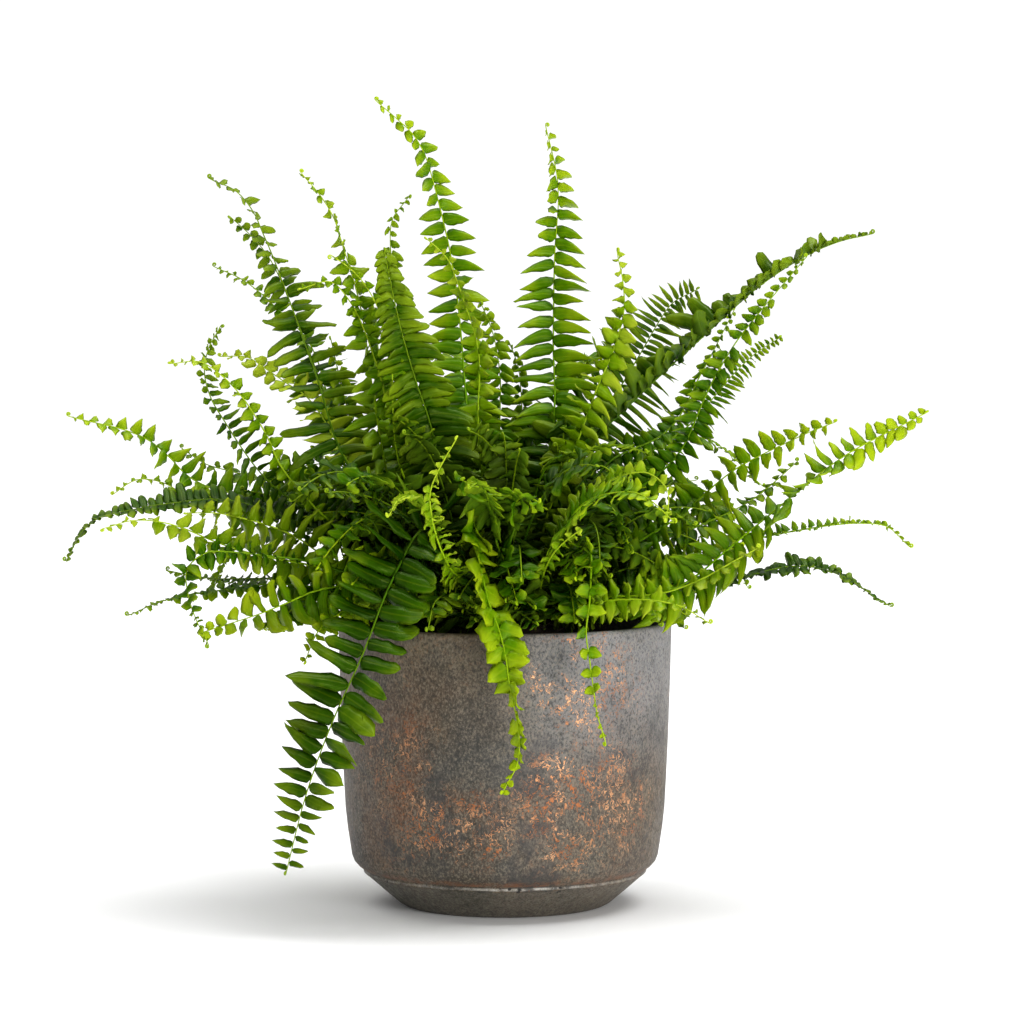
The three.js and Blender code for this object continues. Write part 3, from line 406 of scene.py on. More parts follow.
def merged_mesh(node):
    """A node's points with doubles merged, and its triangles."""
    node.data.calc_loop_triangles()
    points = np.array([tuple(vertex.co) for vertex in node.data.vertices])
    triangles = np.array([tuple(triangle.vertices) for triangle in node.data.loop_triangles])
    _, first, back = np.unique(np.round(points / MERGE).astype(np.int64), axis=0,
                               return_index=True, return_inverse=True)
    return points[first], back.reshape(-1)[triangles]


def grouped(count, joints):
    """Numbers below count in groups, where each joint puts two of them together."""
    root = list(range(count))

    def find(i):
        while root[i] != i:
            root[i] = root[root[i]]
            i = root[i]
        return i

    for a, b in joints:
        root[find(a)] = find(b)
    groups = {}
    for i in range(count):
        groups.setdefault(find(i), []).append(i)
    return list(groups.values())


def upper_side(points, group, lengths):
    """Which way a station's upper side looks. Its upper edge is the longer of the two that differ most."""
    short = [e for e in lengths if e[0] in group and e[1] in group and lengths[e] < SECTION_EDGE]
    pairs = [(abs(lengths[e] - lengths[f]), e, f) for i, e in enumerate(short) for f in short[i + 1:]
             if not set(e) & set(f)]
    _, e, f = max(pairs)
    top, under = (e, f) if lengths[e] > lengths[f] else (f, e)
    return points[list(top)].mean(0) - points[list(under)].mean(0)


def read_fronds(node):
    """Reads a node's solid back as one frond or more: midrib stations and leaflets.

    A station is four corners joined by short edges, wider above than beneath, and a leaflet's tip is
    two close points. A branch's first station meets two stations of its stalk, which are the fork.
    Returns for each frond its centres, its upper sides, and its leaflets as segment and vector."""
    points, triangles = merged_mesh(node)
    edges = {tuple(sorted(pair)) for t in triangles for pair in ((t[0], t[1]), (t[1], t[2]), (t[2], t[0]))}
    lengths = {(a, b): float(np.linalg.norm(points[a] - points[b])) for a, b in edges if a != b}
    groups = grouped(len(points), [e for e, length in lengths.items() if length < SECTION_EDGE])
    stations = [g for g in groups if len(g) == 4]
    tips = [g for g in groups if len(g) == 2]
    middles = np.array([points[g].mean(0) for g in stations])
    station_of = {i: k for k, g in enumerate(stations) for i in g}
    tip_of = {i: k for k, g in enumerate(tips) for i in g}
    beside = [set() for _ in stations]
    touches = [set() for _ in tips]
    for a, b in lengths:
        for one, other in ((a, b), (b, a)):
            if one in station_of and other in station_of and station_of[one] != station_of[other]:
                beside[station_of[one]].add(station_of[other])
            if one in tip_of and other in station_of:
                touches[tip_of[one]].add(station_of[other])
    ends = {next(iter(met)): points[tips[k]].mean(0) for k, met in enumerate(touches) if len(met) == 1}

    def walk(order):
        """Goes on from the last station to the tip, past the stations in order."""
        while order[-1] not in ends:
            here, before = order[-1], order[-2]
            order.append(next(k for k in beside[here] if k != before and k not in beside[before]
                              and k not in order))
        return order

    foot = next(k for k, near in enumerate(beside) if len(near) == 1 and k not in ends)
    mouth = next(iter(beside[foot]))
    above = min(beside[mouth] - {foot}, key=lambda k: np.linalg.norm(middles[k] - middles[mouth]))
    branches = sorted(beside[mouth] & beside[above])
    fronds = []
    starts = [[foot, mouth, above]]
    starts += [[k, next(n for n in beside[k] if n not in (mouth, above))] for k in branches]
    for order in map(walk, starts):
        centres = middles[order]
        uppers = np.array([upper_side(points, stations[k], lengths) for k in order])
        if order[0] in branches:
            centres = np.vstack([middles[[mouth, above]].mean(0), centres])
            uppers = np.vstack([uppers[:1], uppers])
        centres, uppers = np.vstack([centres, ends[order[-1]]]), unit(np.vstack([uppers, uppers[-1]]))
        shift = len(centres) - 1 - len(order)
        rank = {k: i + shift for i, k in enumerate(order)}
        leaflets = []
        for k, met in enumerate(touches):
            if len(met) == 2 and met <= rank.keys():
                segment = min(rank[m] for m in met)
                middle = (centres[segment] + centres[segment + 1]) / 2
                leaflets.append((segment, points[tips[k]].mean(0) - middle))
        fronds.append((centres, uppers, leaflets))
    return fronds


def smooth_line(knots, places, at):
    """Catmull-Rom through knots at increasing places, read at other places."""
    slopes = np.gradient(knots, places, axis=0)
    i = np.clip(np.searchsorted(places, at) - 1, 0, len(places) - 2)
    h = (places[i + 1] - places[i])[:, None]
    t = (at - places[i])[:, None] / h
    a, b = knots[i], knots[i + 1]
    m, n = slopes[i] * h, slopes[i + 1] * h
    return ((2 * t**3 - 3 * t**2 + 1) * a + (t**3 - 2 * t**2 + t) * m
            + (3 * t**2 - 2 * t**3) * b + (t**3 - t**2) * n)


class Frond:
    """A frond's midrib and leaflet sizes, read from its solid, and the ways in which it grows its own."""

    def __init__(self, name, tone, centres, uppers, leaflets):
        # The solid's last stretch is straight, and the coiled tip takes the place of half of it.
        centres = np.vstack([centres[:-1], centres[-2:].mean(0)])
        self.tone = tone
        self.habit = {**HABITS[tone], **OWN_HABITS.get(name.removeprefix("frond_"), {})}
        self.centres, self.uppers = centres, uppers
        steps = np.linalg.norm(np.diff(centres, axis=0), axis=1)
        self.places = np.concatenate([[0], np.cumsum(steps)])
        self.length = self.places[-1]
        rows = {}
        for segment, out in leaflets:
            upper = unit(uppers[segment] + uppers[segment + 1])
            rows.setdefault(segment, []).append((np.linalg.norm(out), np.dot(unit(out), upper)))
        segments = sorted(rows)
        self.blade_start = self.places[segments[0]]
        self.leaf_at = np.array([(self.places[k] + self.places[k + 1]) / 2 for k in segments])
        sizes = np.array([max(size for size, _ in rows[k]) for k in segments])
        wide = np.pad(sizes, 1, mode="edge")
        sizes = np.maximum(sizes, 0.92 * np.minimum(wide[:-2], wide[2:]))
        longest = self.habit.get("longest", LONGEST_LEAFLET_MM) * MM
        self.sizes = np.minimum(sizes * self.habit.get("size", 1.0), longest)
        self.lifts = np.array([np.mean([lift for _, lift in rows[k]]) for k in segments])
        self.largest = self.sizes.max()
        # The frond's twist as the size, length and phase of a swing, and its turn towards the tip.
        self.twist = (self.habit["twist"] * rng.normal(0, 1), rng.uniform(12, 26) * MM,
                      rng.uniform(*ANY_PHASE))
        self.end_twist = self.habit.get("end_twist", 2.0 * self.habit["twist"] * rng.normal(0, 1))
        self.manners = {side: rng.normal(0, 1, 5) for side in (-1, 1)}

    def at(self, places):
        """Centre, way, upper and right of the midrib at these lengths along it."""
        centre = smooth_line(self.centres, self.places, places)
        step = 0.5 * MM
        ahead = smooth_line(self.centres, self.places, np.minimum(places + step, self.length))
        behind = smooth_line(self.centres, self.places, np.maximum(places - step, 0))
        way = unit(ahead - behind)
        upper = smooth_line(self.uppers, self.places, places)
        upper = unit(upper - (upper * way).sum(1, keepdims=True) * way)
        size, length, phase = self.twist
        last = np.clip(places / self.length - END_TWIST_FROM, 0, 1) / (1 - END_TWIST_FROM)
        turn = size * np.sin(places / length + phase) + self.end_twist * last
        upper, right = turned_by(turn, upper, np.cross(way, upper))
        return centre, way, upper, right

    def size_at(self, places):
        """How long the leaflets are at these places."""
        size = np.interp(places, self.leaf_at, self.sizes)
        last = self.leaf_at[-1]
        tail = np.clip((self.length - places) / max(self.length - last, 1e-6), 0, 1)
        size = np.where(places > last, self.sizes[-1] * (0.45 + 0.55 * tail), size)
        below = np.clip((self.blade_start - places) / FADE_BELOW_BLADE, 0, 1)
        before_tip = np.clip((self.length - places) / (TIP_SHARE * self.length), 0, 1)
        least = (self.habit.get("least", 0.15) + 0.13 * before_tip) * self.largest
        return np.maximum(size * (1 - 0.4 * below), np.maximum(LEAST_LEAFLET, least))


# A leaflet's outline at these parts of its length: half widths towards the frond's tip and its foot.
ALONG = np.array([0.0, 0.05, 0.15, 0.30, 0.47, 0.64, 0.80, 0.93, 1.0])
OUTLINES = {
    "blunt": ([0.20, 0.47, 0.54, 0.52, 0.48, 0.46, 0.43, 0.30, 0.0],
              [0.14, 0.35, 0.43, 0.46, 0.46, 0.43, 0.39, 0.26, 0.0]),
    "pointed": ([0.20, 0.50, 0.58, 0.55, 0.49, 0.39, 0.25, 0.10, 0.0],
                [0.12, 0.32, 0.42, 0.46, 0.44, 0.36, 0.23, 0.09, 0.0]),
    "delta": ([0.22, 0.58, 0.64, 0.57, 0.47, 0.36, 0.23, 0.10, 0.0],
              [0.16, 0.42, 0.50, 0.48, 0.41, 0.32, 0.21, 0.09, 0.0]),
    "fan": ([0.20, 0.52, 0.62, 0.63, 0.60, 0.53, 0.42, 0.24, 0.0],
            [0.14, 0.34, 0.41, 0.43, 0.43, 0.39, 0.31, 0.18, 0.0]),
}
ACROSS = np.linspace(-1, 1, COLUMNS)


def leaflet_grid_faces():
    """Faces of one leaflet as a closed lens, which of them are underside, and its number of points. Both
    sides share its rim, and the underside has one line of points of its own, along its middle."""
    top = {(k, j): k * COLUMNS + j for k in range(ROWS - 1) for j in range(COLUMNS)}
    tip, last, half = (ROWS - 1) * COLUMNS, COLUMNS - 1, COLUMNS // 2
    below = [tip + k for k in range(ROWS - 1)]
    faces = [(top[k, j], top[k, j + 1], top[k + 1, j + 1], top[k + 1, j])
             for k in range(ROWS - 2) for j in range(last)]
    faces += [(top[ROWS - 2, j], top[ROWS - 2, j + 1], tip) for j in range(last)]
    sides = [0] * len(faces)
    faces.append((top[0, 0], top[1, 0], below[1], *(top[0, j] for j in range(half, 0, -1))))
    faces.append((top[0, half], below[1], top[1, last], *(top[0, j] for j in range(last, half, -1))))
    for k in range(1, ROWS - 2):
        faces.append((top[k, 0], top[k + 1, 0], below[k + 1], below[k]))
        faces.append((below[k], below[k + 1], top[k + 1, last], top[k, last]))
    faces.append((top[ROWS - 2, 0], tip, below[ROWS - 2]))
    faces.append((below[ROWS - 2], tip, top[ROWS - 2, last]))
    sides += [1] * (len(faces) - len(sides))
    return faces, sides, tip + ROWS - 1


LEAF_FACES, LEAF_SIDES, LEAF_POINTS = leaflet_grid_faces()


# How leaflets grow, by tone: the spacing in mm with a part of the leaflet's length, what is left of it at
# the tip, the outline, the width in spacings, the lean towards the frond's tip, how far the point bends
# back, sinks and curls up in parts of the length, the frond's twist, and how uneven the leaflets are.
HABITS = {
    "frond_young": dict(
        pitch=(6.8, 0.10), end=0.9, outline="delta", width=0.9, lean=0.10, sickle=0.03, weight=0.06,
        curl=0.14, twist=0.4, uneven=1.6),
    "frond_fresh": dict(
        pitch=(6.2, 0.11), end=0.85, outline="pointed", width=0.92, lean=0.18, sickle=0.12, weight=0.24,
        curl=0.04, twist=0.34, uneven=1.25),
    "frond_mature": dict(
        pitch=(5.1, 0.13), end=0.8, outline="pointed", width=1.0, lean=0.12, sickle=0.08, weight=0.22,
        curl=0.03, twist=0.36, uneven=1.5),
    "frond_dark": dict(
        pitch=(4.4, 0.14), end=0.74, outline="blunt", width=0.86, lean=0.06, sickle=0.04, weight=0.16,
        curl=-0.02, twist=0.2, uneven=1.4),
}
# Fronds that grow unlike the others of their tone. Besides the values above they may have:
# size, their leaflets' length in parts of the solid's; longest in mm, and least in parts of their longest;
# slim, the most width in parts of the length; short, one side and how long its leaflets are there;
# gaps, the chance that a leaflet is missing; odd, the chance and the size of one unlike the others;
# tip and tip_from, the outline near the tip and where on the blade it starts; end_twist, the turn of the
# last part in radians; pale, how much paler they are.
OWN_HABITS = {
    "tall_left": dict(
        pitch=(6.6, 0.12), lean=0.22, weight=0.34, twist=0.1, uneven=1.0, end_twist=0.9, gaps=0.0),
    "tall_right": dict(
        width=0.95, lean=0.26, weight=0.46, twist=0.1, uneven=1.3, end_twist=1.0, gaps=0.0, sickle=0.18),
    "left_big": dict(
        pitch=(7.0, 0.12), width=0.56, weight=0.14, lean=0.1, curl=0.08, uneven=1.6, end_twist=0.9,
        sickle=0.2, gaps=0.0, size=1.35, pale=0.35),
    "left_behind": dict(pitch=(6.0, 0.12), outline="pointed", width=0.72, size=1.3),
    "left_edge_on": dict(
        pitch=(7.2, 0.08), width=0.84, weight=0.2, twist=0.8, end_twist=1.2, gaps=0.02, size=1.2, pale=-0.4),
    "left_upright": dict(
        pitch=(4.4, 0.1), outline="pointed", width=0.66, weight=0.08, lean=0.0, curl=0.12, size=1.25,
        uneven=1.7, gaps=0.0),
    "left_stalk": dict(size=1.25, gaps=0.02),
    "yellow_left": dict(pitch=(6.4, 0.1), width=0.8, size=1.55, gaps=0.0, pale=1.4),
    "left_curl": dict(pale=-0.8),
    "left_lower_stem": dict(size=1.15, pale=0.3),
    "bright_drop": dict(
        pitch=(6.4, 0.1), width=2.0, lean=0.6, weight=0.04, twist=0.5, end_twist=1.3, size=1.3, pale=0.55),
    "thin_drop": dict(pitch=(10.5, 0.1), width=0.7, twist=0.9, size=1.1, pale=0.4),
    "long_right": dict(
        width=1.5, tip="blunt", weight=0.0, twist=0.06, size=0.84, gaps=0.0, odd=(0.16, 2.1)),
    "feather_back": dict(
        pitch=(2.5, 0.05), width=0.8, outline="pointed", tip="pointed", twist=0.1, gaps=0.0, size=1.7),
    "right_feather": dict(pitch=(2.8, 0.05), width=0.75, twist=0.1, gaps=0.0),
    "right_pale": dict(width=1.0, size=1.35, gaps=0.02, pale=0.3),
    "right_thin_arch": dict(pitch=(3.8, 0.08), size=1.25, gaps=0.0, odd=(0.08, 1.5)),
    "right_low_arch": dict(pitch=(3.4, 0.06), width=1.3, size=1.1, twist=0.1, gaps=0.0, pale=-0.5),
    "far_left_mid": dict(
        pitch=(3.6, 0.06), width=1.25, twist=0.05, uneven=0.8, size=1.45, gaps=0.0, pale=-0.3),
    "far_left_top": dict(pitch=(7.8, 0.08), width=0.8, outline="delta", size=1.25, gaps=0.0),
    "far_right": dict(
        pitch=(5.2, 0.1), width=0.98, gaps=0.0, sickle=0.2, uneven=1.6, pale=0.25, size=1.3),
    "right_mid": dict(gaps=0.0, sickle=0.2, uneven=1.6, pale=0.3, size=1.15),
    "low_left_long": dict(pitch=(3.8, 0.1), width=1.2, gaps=0.0),
    "low_left_dark": dict(pitch=(3.6, 0.1), width=1.2, gaps=0.0, odd=(0.06, 1.6)),
    "big_droop": dict(
        pitch=(6.4, 0.12), end=0.66, width=1.1, twist=0.06, weight=0.1, sickle=0.08, lean=0.0, size=1.45,
        longest=30, least=0.3, gaps=0.0, tip="pointed", tip_from=0.5, pale=-0.3, slim=0.37,
        odd=(0.0, 1.0), short=(-1, 0.82)),
    "comb_left": dict(
        pitch=(6.2, 0.08), outline="blunt", width=0.7, weight=0.05, curl=0.1, uneven=1.9, size=1.25, gaps=0.0,
        pale=0.15),
    "dark_blade": dict(
        pitch=(3.4, 0.07), width=1.6, twist=0.06, weight=0.3, gaps=0.0, pale=0.1, size=1.08),
    "front_curl": dict(pitch=(4.6, 0.1), size=0.75, uneven=2.2),
    "infill": dict(uneven=1.9, pale=-0.8),
}


def turned_by(angle, a, b):
    """Two vectors at right angles, both turned by an angle in their plane."""
    cos, sin = np.cos(angle)[:, None], np.sin(angle)[:, None]
    return cos * a + sin * b, cos * b - sin * a


def keep_off_pot(points):
    """Moves points that would lie in the pot's wall, the soil or the crown just off them."""
    x, y, z = points[..., 0], points[..., 1], points[..., 2]
    radius = np.hypot(x, y)
    outer = np.interp(z, [p[1] for p in POT_OUTSIDE], [p[0] for p in POT_OUTSIDE]) + LEAF_GAP
    inner = POT_INNER - LEAF_GAP
    beside = z < POT_TOP + LEAF_GAP
    out = beside & (radius > POT_WALL_MIDDLE) & (radius < outer)
    into = beside & (radius <= POT_WALL_MIDDLE) & (radius > inner)
    scale = np.where(out, outer / radius, np.where(into, inner / radius, 1.0))
    ground = np.where(radius < CROWN_EDGE, crown_height(radius), SOIL_TOP) + LEAF_GAP
    z = np.where((radius < POT_INNER) & (z < ground), ground, z)
    return np.stack([x * scale, y * scale, z], axis=-1)


def crown_height(radius):
    return CROWN_TOP - (CROWN_TOP - CROWN_LOW) * np.minimum(1.0, radius / CROWN_EDGE)**2


def leaflet_points(frond, places, pitches, side):
    """Points and UV pairs of the leaflets on one side, at these places along the midrib."""
    count = len(places)
    habit = frond.habit
    uneven = habit["uneven"]
    own_lift, own_roll, own_lean, own_weight, own_warp = uneven * frond.manners[side]
    centre, way, upper, right = frond.at(places)
    grown = np.clip((places - frond.blade_start) / (frond.length - frond.blade_start), 0, 1)
    odd_chance, odd_size = habit.get("odd", (0.04 * uneven, 0.72))
    odd = rng.uniform(0, 1, count) < odd_chance
    size = frond.size_at(places) * np.clip(rng.normal(1, 0.07 * uneven, count), 0.75, 1.2)
    size = np.where(odd, odd_size * size, size)
    short_side, short = habit.get("short", (0, 1.0))
    if side == short_side:
        size = short * size

    def uneven_by(amount):
        """A slow swing along the frond with a smaller one of each leaflet's own."""
        phase, length = rng.uniform(*ANY_PHASE), rng.uniform(6, 14) * MM
        return amount * uneven * (np.sin(places / length + phase) + rng.normal(0, 0.7, count))

    # Directions: outwards, ahead to the frond's tip, and the leaflet's own upper side.
    lift = np.arcsin(np.clip(np.interp(places, frond.leaf_at, frond.lifts), -0.9, 0.9))
    lift = lift + 0.1 * own_lift + uneven_by(0.1)
    out, face = turned_by(lift, side * right, upper)
    out, _ = turned_by(habit["lean"] + 0.07 * own_lean + uneven_by(0.06), out, way)
    face = unit(face - (face * out).sum(1, keepdims=True) * out)
    ahead = unit(np.cross(face, out)) * side
    roll = 0.12 + 0.14 * own_roll + uneven_by(0.14) + np.where(odd, rng.normal(0, 0.5, count), 0)
    ahead, face = turned_by(roll, ahead, face)

    plain = OUTLINES[habit["outline"]]
    at_tip = OUTLINES[habit.get("tip", "delta" if habit["outline"] == "delta" else "fan")]
    last = np.clip((grown - habit.get("tip_from", 0.72)) / 0.2, 0, 1)[:, None]
    edge_ahead = (1 - last) * np.array(plain[0]) + last * np.array(at_tip[0])
    edge_behind = (1 - last) * np.array(plain[1]) + last * np.array(at_tip[1])
    widest = habit.get("slim", WIDEST_OF_LENGTH) * size
    width = np.minimum(habit["width"] * pitches * rng.normal(1, 0.06, count), widest)

    def per_leaf(value):
        return np.asarray(value)[:, None, None]

    u, v = ALONG[None, :, None], ACROSS[None, None, :]
    across = np.where(v > 0, v * edge_ahead[:, :, None], v * edge_behind[:, :, None]) * per_leaf(width)
    sickle = habit["sickle"] + rng.normal(0, 0.05 * uneven, count)
    across = across - per_leaf(size * sickle) * u**2
    arch = per_leaf(width * rng.normal(0.16, 0.07, count))
    height = -arch * (v**2 * (0.4 + 2.6 * u * (1 - u))) + 0.02 * per_leaf(width) * (np.abs(v) > 0.3)
    # The blade turns about its length, curls at its point and waves along its edges.
    warp = 0.25 * own_warp + rng.normal(0, 0.22 * uneven, count)
    height = height + across * per_leaf(warp) * u * 1.6
    curl = habit["curl"] + rng.normal(0, 0.08 * uneven, count)
    height = height + per_leaf(size * curl) * u**2.2
    waves = per_leaf(rng.uniform(0, 2 * math.pi, count)) + 1.9 * np.sign(v)
    rate = per_leaf(rng.uniform(6, 13, count))
    height = height + 0.07 * uneven * per_leaf(width) * np.sin(rate * u + waves) * np.abs(v)
    edge_wave = 1 + 0.06 * uneven * np.sin(1.7 * rate * u + 2 * waves)
    down = np.array([0.0, 0.0, -1.0]) + out[:, 2:3] * out
    weight = np.clip(habit["weight"] + 0.05 * own_weight + rng.normal(0, 0.05 * uneven, count), -0.03, 0.5)
    weight = per_leaf(size * weight)
    foot = centre + out * LEAF_FOOT
    top = (foot[:, None, None] + (per_leaf(size) * u)[..., None] * out[:, None, None]
           + (across * edge_wave)[..., None] * ahead[:, None, None] + height[..., None] * face[:, None, None]
           + (weight * u**1.8)[..., None] * down[:, None, None])
    flat = top.reshape(count, -1, 3)[:, :(ROWS - 1) * COLUMNS + 1]
    flat[:, -1] = top[:, -1, COLUMNS // 2]
    below = top[:, 1:ROWS - 1, COLUMNS // 2] - face[:, None] * LEAF_THICKNESS
    points = keep_off_pot(np.concatenate([flat, below], axis=1))

    leaf = np.zeros((count, LEAF_POINTS, 4))
    leaf[:, :, 0] = np.concatenate([np.repeat(ALONG[:-1], COLUMNS), [1], ALONG[1:ROWS - 1]])
    leaf[:, :, 1] = np.concatenate([np.tile((ACROSS + 1) / 2, ROWS - 1), np.full(ROWS - 1, 0.5)])
    leaf[:, :, 2] = rng.uniform(0, 1, count)[:, None] + habit.get("pale", 0.0)
    leaf[:, :, 3] = grown[:, None]
    return points, leaf


def curled_tip(centre, way, upper):
    """The young end of a frond: a small spiral that closes towards the upper side."""
    centres, uppers = [centre], [upper]
    for i in range(CURL_STEPS):
        share = i / (CURL_STEPS - 1)
        angle = CURL_STEP / (CURL_RADII[0] + (CURL_RADII[1] - CURL_RADII[0]) * share**0.7)
        way, upper = (math.cos(angle) * way + math.sin(angle) * upper,
                      math.cos(angle) * upper - math.sin(angle) * way)
        centres.append(centres[-1] + CURL_STEP * way)
        uppers.append(upper)
    return np.array(centres[1:]), np.array(uppers[1:])


def tube_faces(rings, sides, start=0, capped=False):
    """Faces of a tube whose rings of points follow each other from start on. Two more points, for the
    middles of its first and last ring, follow them where it is capped."""
    foot = start + rings * sides
    faces = []
    for j in range(sides):
        a, b = start + j, start + (j + 1) % sides
        faces += [(a + n, b + n, b + n + sides, a + n + sides) for n in range(0, foot - start - sides, sides)]
        if capped:
            faces += [(b, a, foot), (a + foot - start - sides, b + foot - start - sides, foot + 1)]
    return faces


def midrib(frond):
    """A round tapered tube along the midrib with a coiled tip, closed at both ends."""
    rings = max(12, int(frond.length / RIB_STEP))
    places = np.linspace(0, frond.length, rings)
    centre, way, upper, right = frond.at(places)
    share = places / frond.length
    radius = RIB_FOOT_RADIUS + (RIB_TIP_RADIUS - RIB_FOOT_RADIUS) * share**0.7
    curl, curl_upper = curled_tip(centre[-1], way[-1], upper[-1])
    centre, upper = np.vstack([centre, curl]), np.vstack([upper, curl_upper])
    right = np.vstack([right, np.repeat(right[-1:], CURL_STEPS, axis=0)])
    share = np.concatenate([share, np.ones(CURL_STEPS)])
    swell = np.linspace(0, 1, CURL_STEPS)
    radius = np.concatenate([radius, RIB_TIP_RADIUS * (1 + 1.1 * np.sin(math.pi * swell**0.8))])
    turns = np.arange(RIB_SIDES) * 2 * math.pi / RIB_SIDES
    ring = (np.cos(turns)[None, :, None] * right[:, None] + np.sin(turns)[None, :, None] * upper[:, None])
    points = centre[:, None] + radius[:, None, None] * ring
    points = np.concatenate([points.reshape(-1, 3), centre[:1], centre[-1:]])
    leaf = np.zeros((len(points), 4))
    leaf[:, 0] = np.concatenate([np.repeat(share, RIB_SIDES), [0, 1]])
    return points, tube_faces(rings + CURL_STEPS, RIB_SIDES, capped=True), leaf


def leaflet_places(frond, side):
    """Places of the leaflets on one side and the room for each, from a little below the solid's first one."""
    habit = frond.habit
    usual = habit["pitch"][0] * MM + habit["pitch"][1] * frond.largest
    places, pitches = [], []
    at = (0.8 if frond.tone == "frond_young" else 0.5) * frond.blade_start
    at += (0.25 if side > 0 else 0.75) * usual
    while at < frond.length - 0.1 * usual:
        grown = max(0.0, (at - frond.blade_start) / (frond.length - frond.blade_start))
        pitch = usual * (1 - (1 - habit["end"]) * min(1.0, max(0.0, (grown - 0.55) / 0.4)))
        pitch = min(pitch, 1.3 * frond.size_at(np.array([at]))[0] + 1.2 * MM)
        if rng.uniform() > habit.get("gaps", 0.07 * habit["uneven"]) * grown:
            places.append(at + rng.normal(0, 0.05) * pitch)
            pitches.append(pitch)
        at += pitch
    return np.array(places), np.array(pitches)


def grow(name, tone, fronds):
    """One piece with a midrib and leaflets for each of its fronds."""
    all_points, all_leaf, faces, slots = [], [], [], []
    start = 0
    for frond in fronds:
        points, rib_faces, leaf = midrib(frond)
        faces += [tuple(start + c for c in face) for face in rib_faces]
        slots += [2] * len(rib_faces)
        all_points.append(points)
        all_leaf.append(leaf)
        start += len(points)
        for side in (-1, 1):
            places, pitches = leaflet_places(frond, side)
            points, leaf = leaflet_points(frond, places, pitches, side)
            for base in range(start, start + points.shape[0] * LEAF_POINTS, LEAF_POINTS):
                for face in LEAF_FACES:
                    corners = [base + c for c in face]
                    faces.append(corners[::-1] if side > 0 else corners)
                slots += LEAF_SIDES
            start += points.shape[0] * LEAF_POINTS
            all_points.append(points.reshape(-1, 3))
            all_leaf.append(leaf.reshape(-1, 4))
    leaf = np.concatenate(all_leaf)
    piece = mesh_object(
        name, np.concatenate(all_points), faces, LEAF_MATERIALS[tone], slots,
        {"leaf": leaf[:, :2], "grow": leaf[:, 2:]},
    )
    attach(piece, "root")
    return piece


def dress_fronds(node, tone):
    """The fine fronds that stand for a node's solid."""
    fronds = [Frond(node.name, tone, *parts) for parts in read_fronds(node)]
    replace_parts(grow(node.name.replace("frond_", "fern_"), tone, fronds), node.name)


# Small fronds that fill the crown among the others: which way they head, in degrees from +X, then in mm
# from the pot's axis and above its rim, how far they reach, how high they are drawn up and where they end.
RINGS = {
    "rim": ((0, 360), (86, 120), (44, 86), (8, 32)),
    "middle": ((0, 360), (28, 88), (76, 140), (45, 120)),
    "shoulder": ((0, 360), (105, 158), (60, 120), (24, 92)),
    "left": ((160, 222), (98, 158), (70, 125), (22, 88)),
    "left_low": ((176, 226), (98, 146), (36, 70), (-12, 24)),
    "front": ((228, 322), (76, 104), (22, 54), (0, 18)),
    "right": ((318, 382), (84, 110), (20, 46), (-8, 14)),
    "back": ((10, 170), (84, 124), (26, 64), (-14, 18)),
}
# How many grow in each ring, by tone.
INFILL = {
    "frond_mature": dict(rim=16, middle=12, shoulder=10, left=7, left_low=5, front=9, back=3),
    "frond_fresh": dict(rim=8, middle=3, shoulder=6, left=2, left_low=3, front=6, right=8, back=10),
    "frond_dark": dict(rim=12, middle=14, shoulder=10, left=8, left_low=3, front=8, back=1),
}
INFILL_STATIONS = 10
GOLDEN_SHARE = 0.618034


def infill_frond(tone, share, ring):
    """A short frond that arches from the crown, at this share of its ring."""
    (low, high), *spans = RINGS[ring]
    turn = math.radians(low + (high - low) * share) + rng.normal(0, 0.1)
    out = np.array([math.cos(turn), math.sin(turn), 0])
    beside, up = np.array([-math.sin(turn), math.cos(turn), 0]), np.array([0.0, 0.0, 1.0])
    foot = rng.uniform(14, 46) * MM
    reach, peak, end = (rng.uniform(*span) * MM for span in spans)
    start = foot * out + crown_height(foot) * up
    middle = (0.6 * foot + 0.4 * reach) * out + (POT_TOP + peak) * up + rng.normal(0, 10) * MM * beside
    tip = reach * out + (POT_TOP + end) * up + rng.normal(0, 20) * MM * beside
    along = np.linspace(0, 1, INFILL_STATIONS)[:, None]
    centres = (1 - along)**2 * start + 2 * along * (1 - along) * middle + along**2 * tip
    way = unit(np.gradient(centres, axis=0))
    uppers = unit(np.cross(way, beside))
    uppers, rights = turned_by(np.full(INFILL_STATIONS, rng.normal(0, 0.5)), uppers, np.cross(way, uppers))
    largest = rng.uniform(9, 15) * MM
    leaflets = []
    for k in range(2, INFILL_STATIONS - 1):
        size = largest * max(0.3, 1 - ((k / INFILL_STATIONS - 0.4) / 0.68)**2)
        leaflets += [(k, side * size * rights[k]) for side in (-1, 1)]
    return Frond("infill", tone, centres, uppers, leaflets)


def infill():
    number = 0
    for tone, counts in INFILL.items():
        fronds = []
        for ring, count in counts.items():
            for _ in range(count):
                fronds.append(infill_frond(tone, GOLDEN_SHARE * number % 1, ring))
                number += 1
        grow(tone.replace("frond_", "fern_infill_"), tone, fronds)


def turned(name, profile, turns, material):
    """A closed body turned round Z. The profile runs from the axis to the axis."""
    angles = np.arange(turns) * 2 * math.pi / turns
    points = [(radius * math.cos(a), radius * math.sin(a), height)
              for radius, height in profile[1:-1] for a in angles]
    points += [(0, 0, profile[0][1]), (0, 0, profile[-1][1])]
    return mesh_object(name, points, tube_faces(len(profile) - 2, turns, capped=True), [material])


def pot():
    profile = [(0, 0), *POT_OUTSIDE, *POT_INSIDE, (0, POT_FLOOR)]
    piece = turned("pot_body", profile, POT_TURNS, pot_material())
    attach(piece, "root")
    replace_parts(piece, "pot")


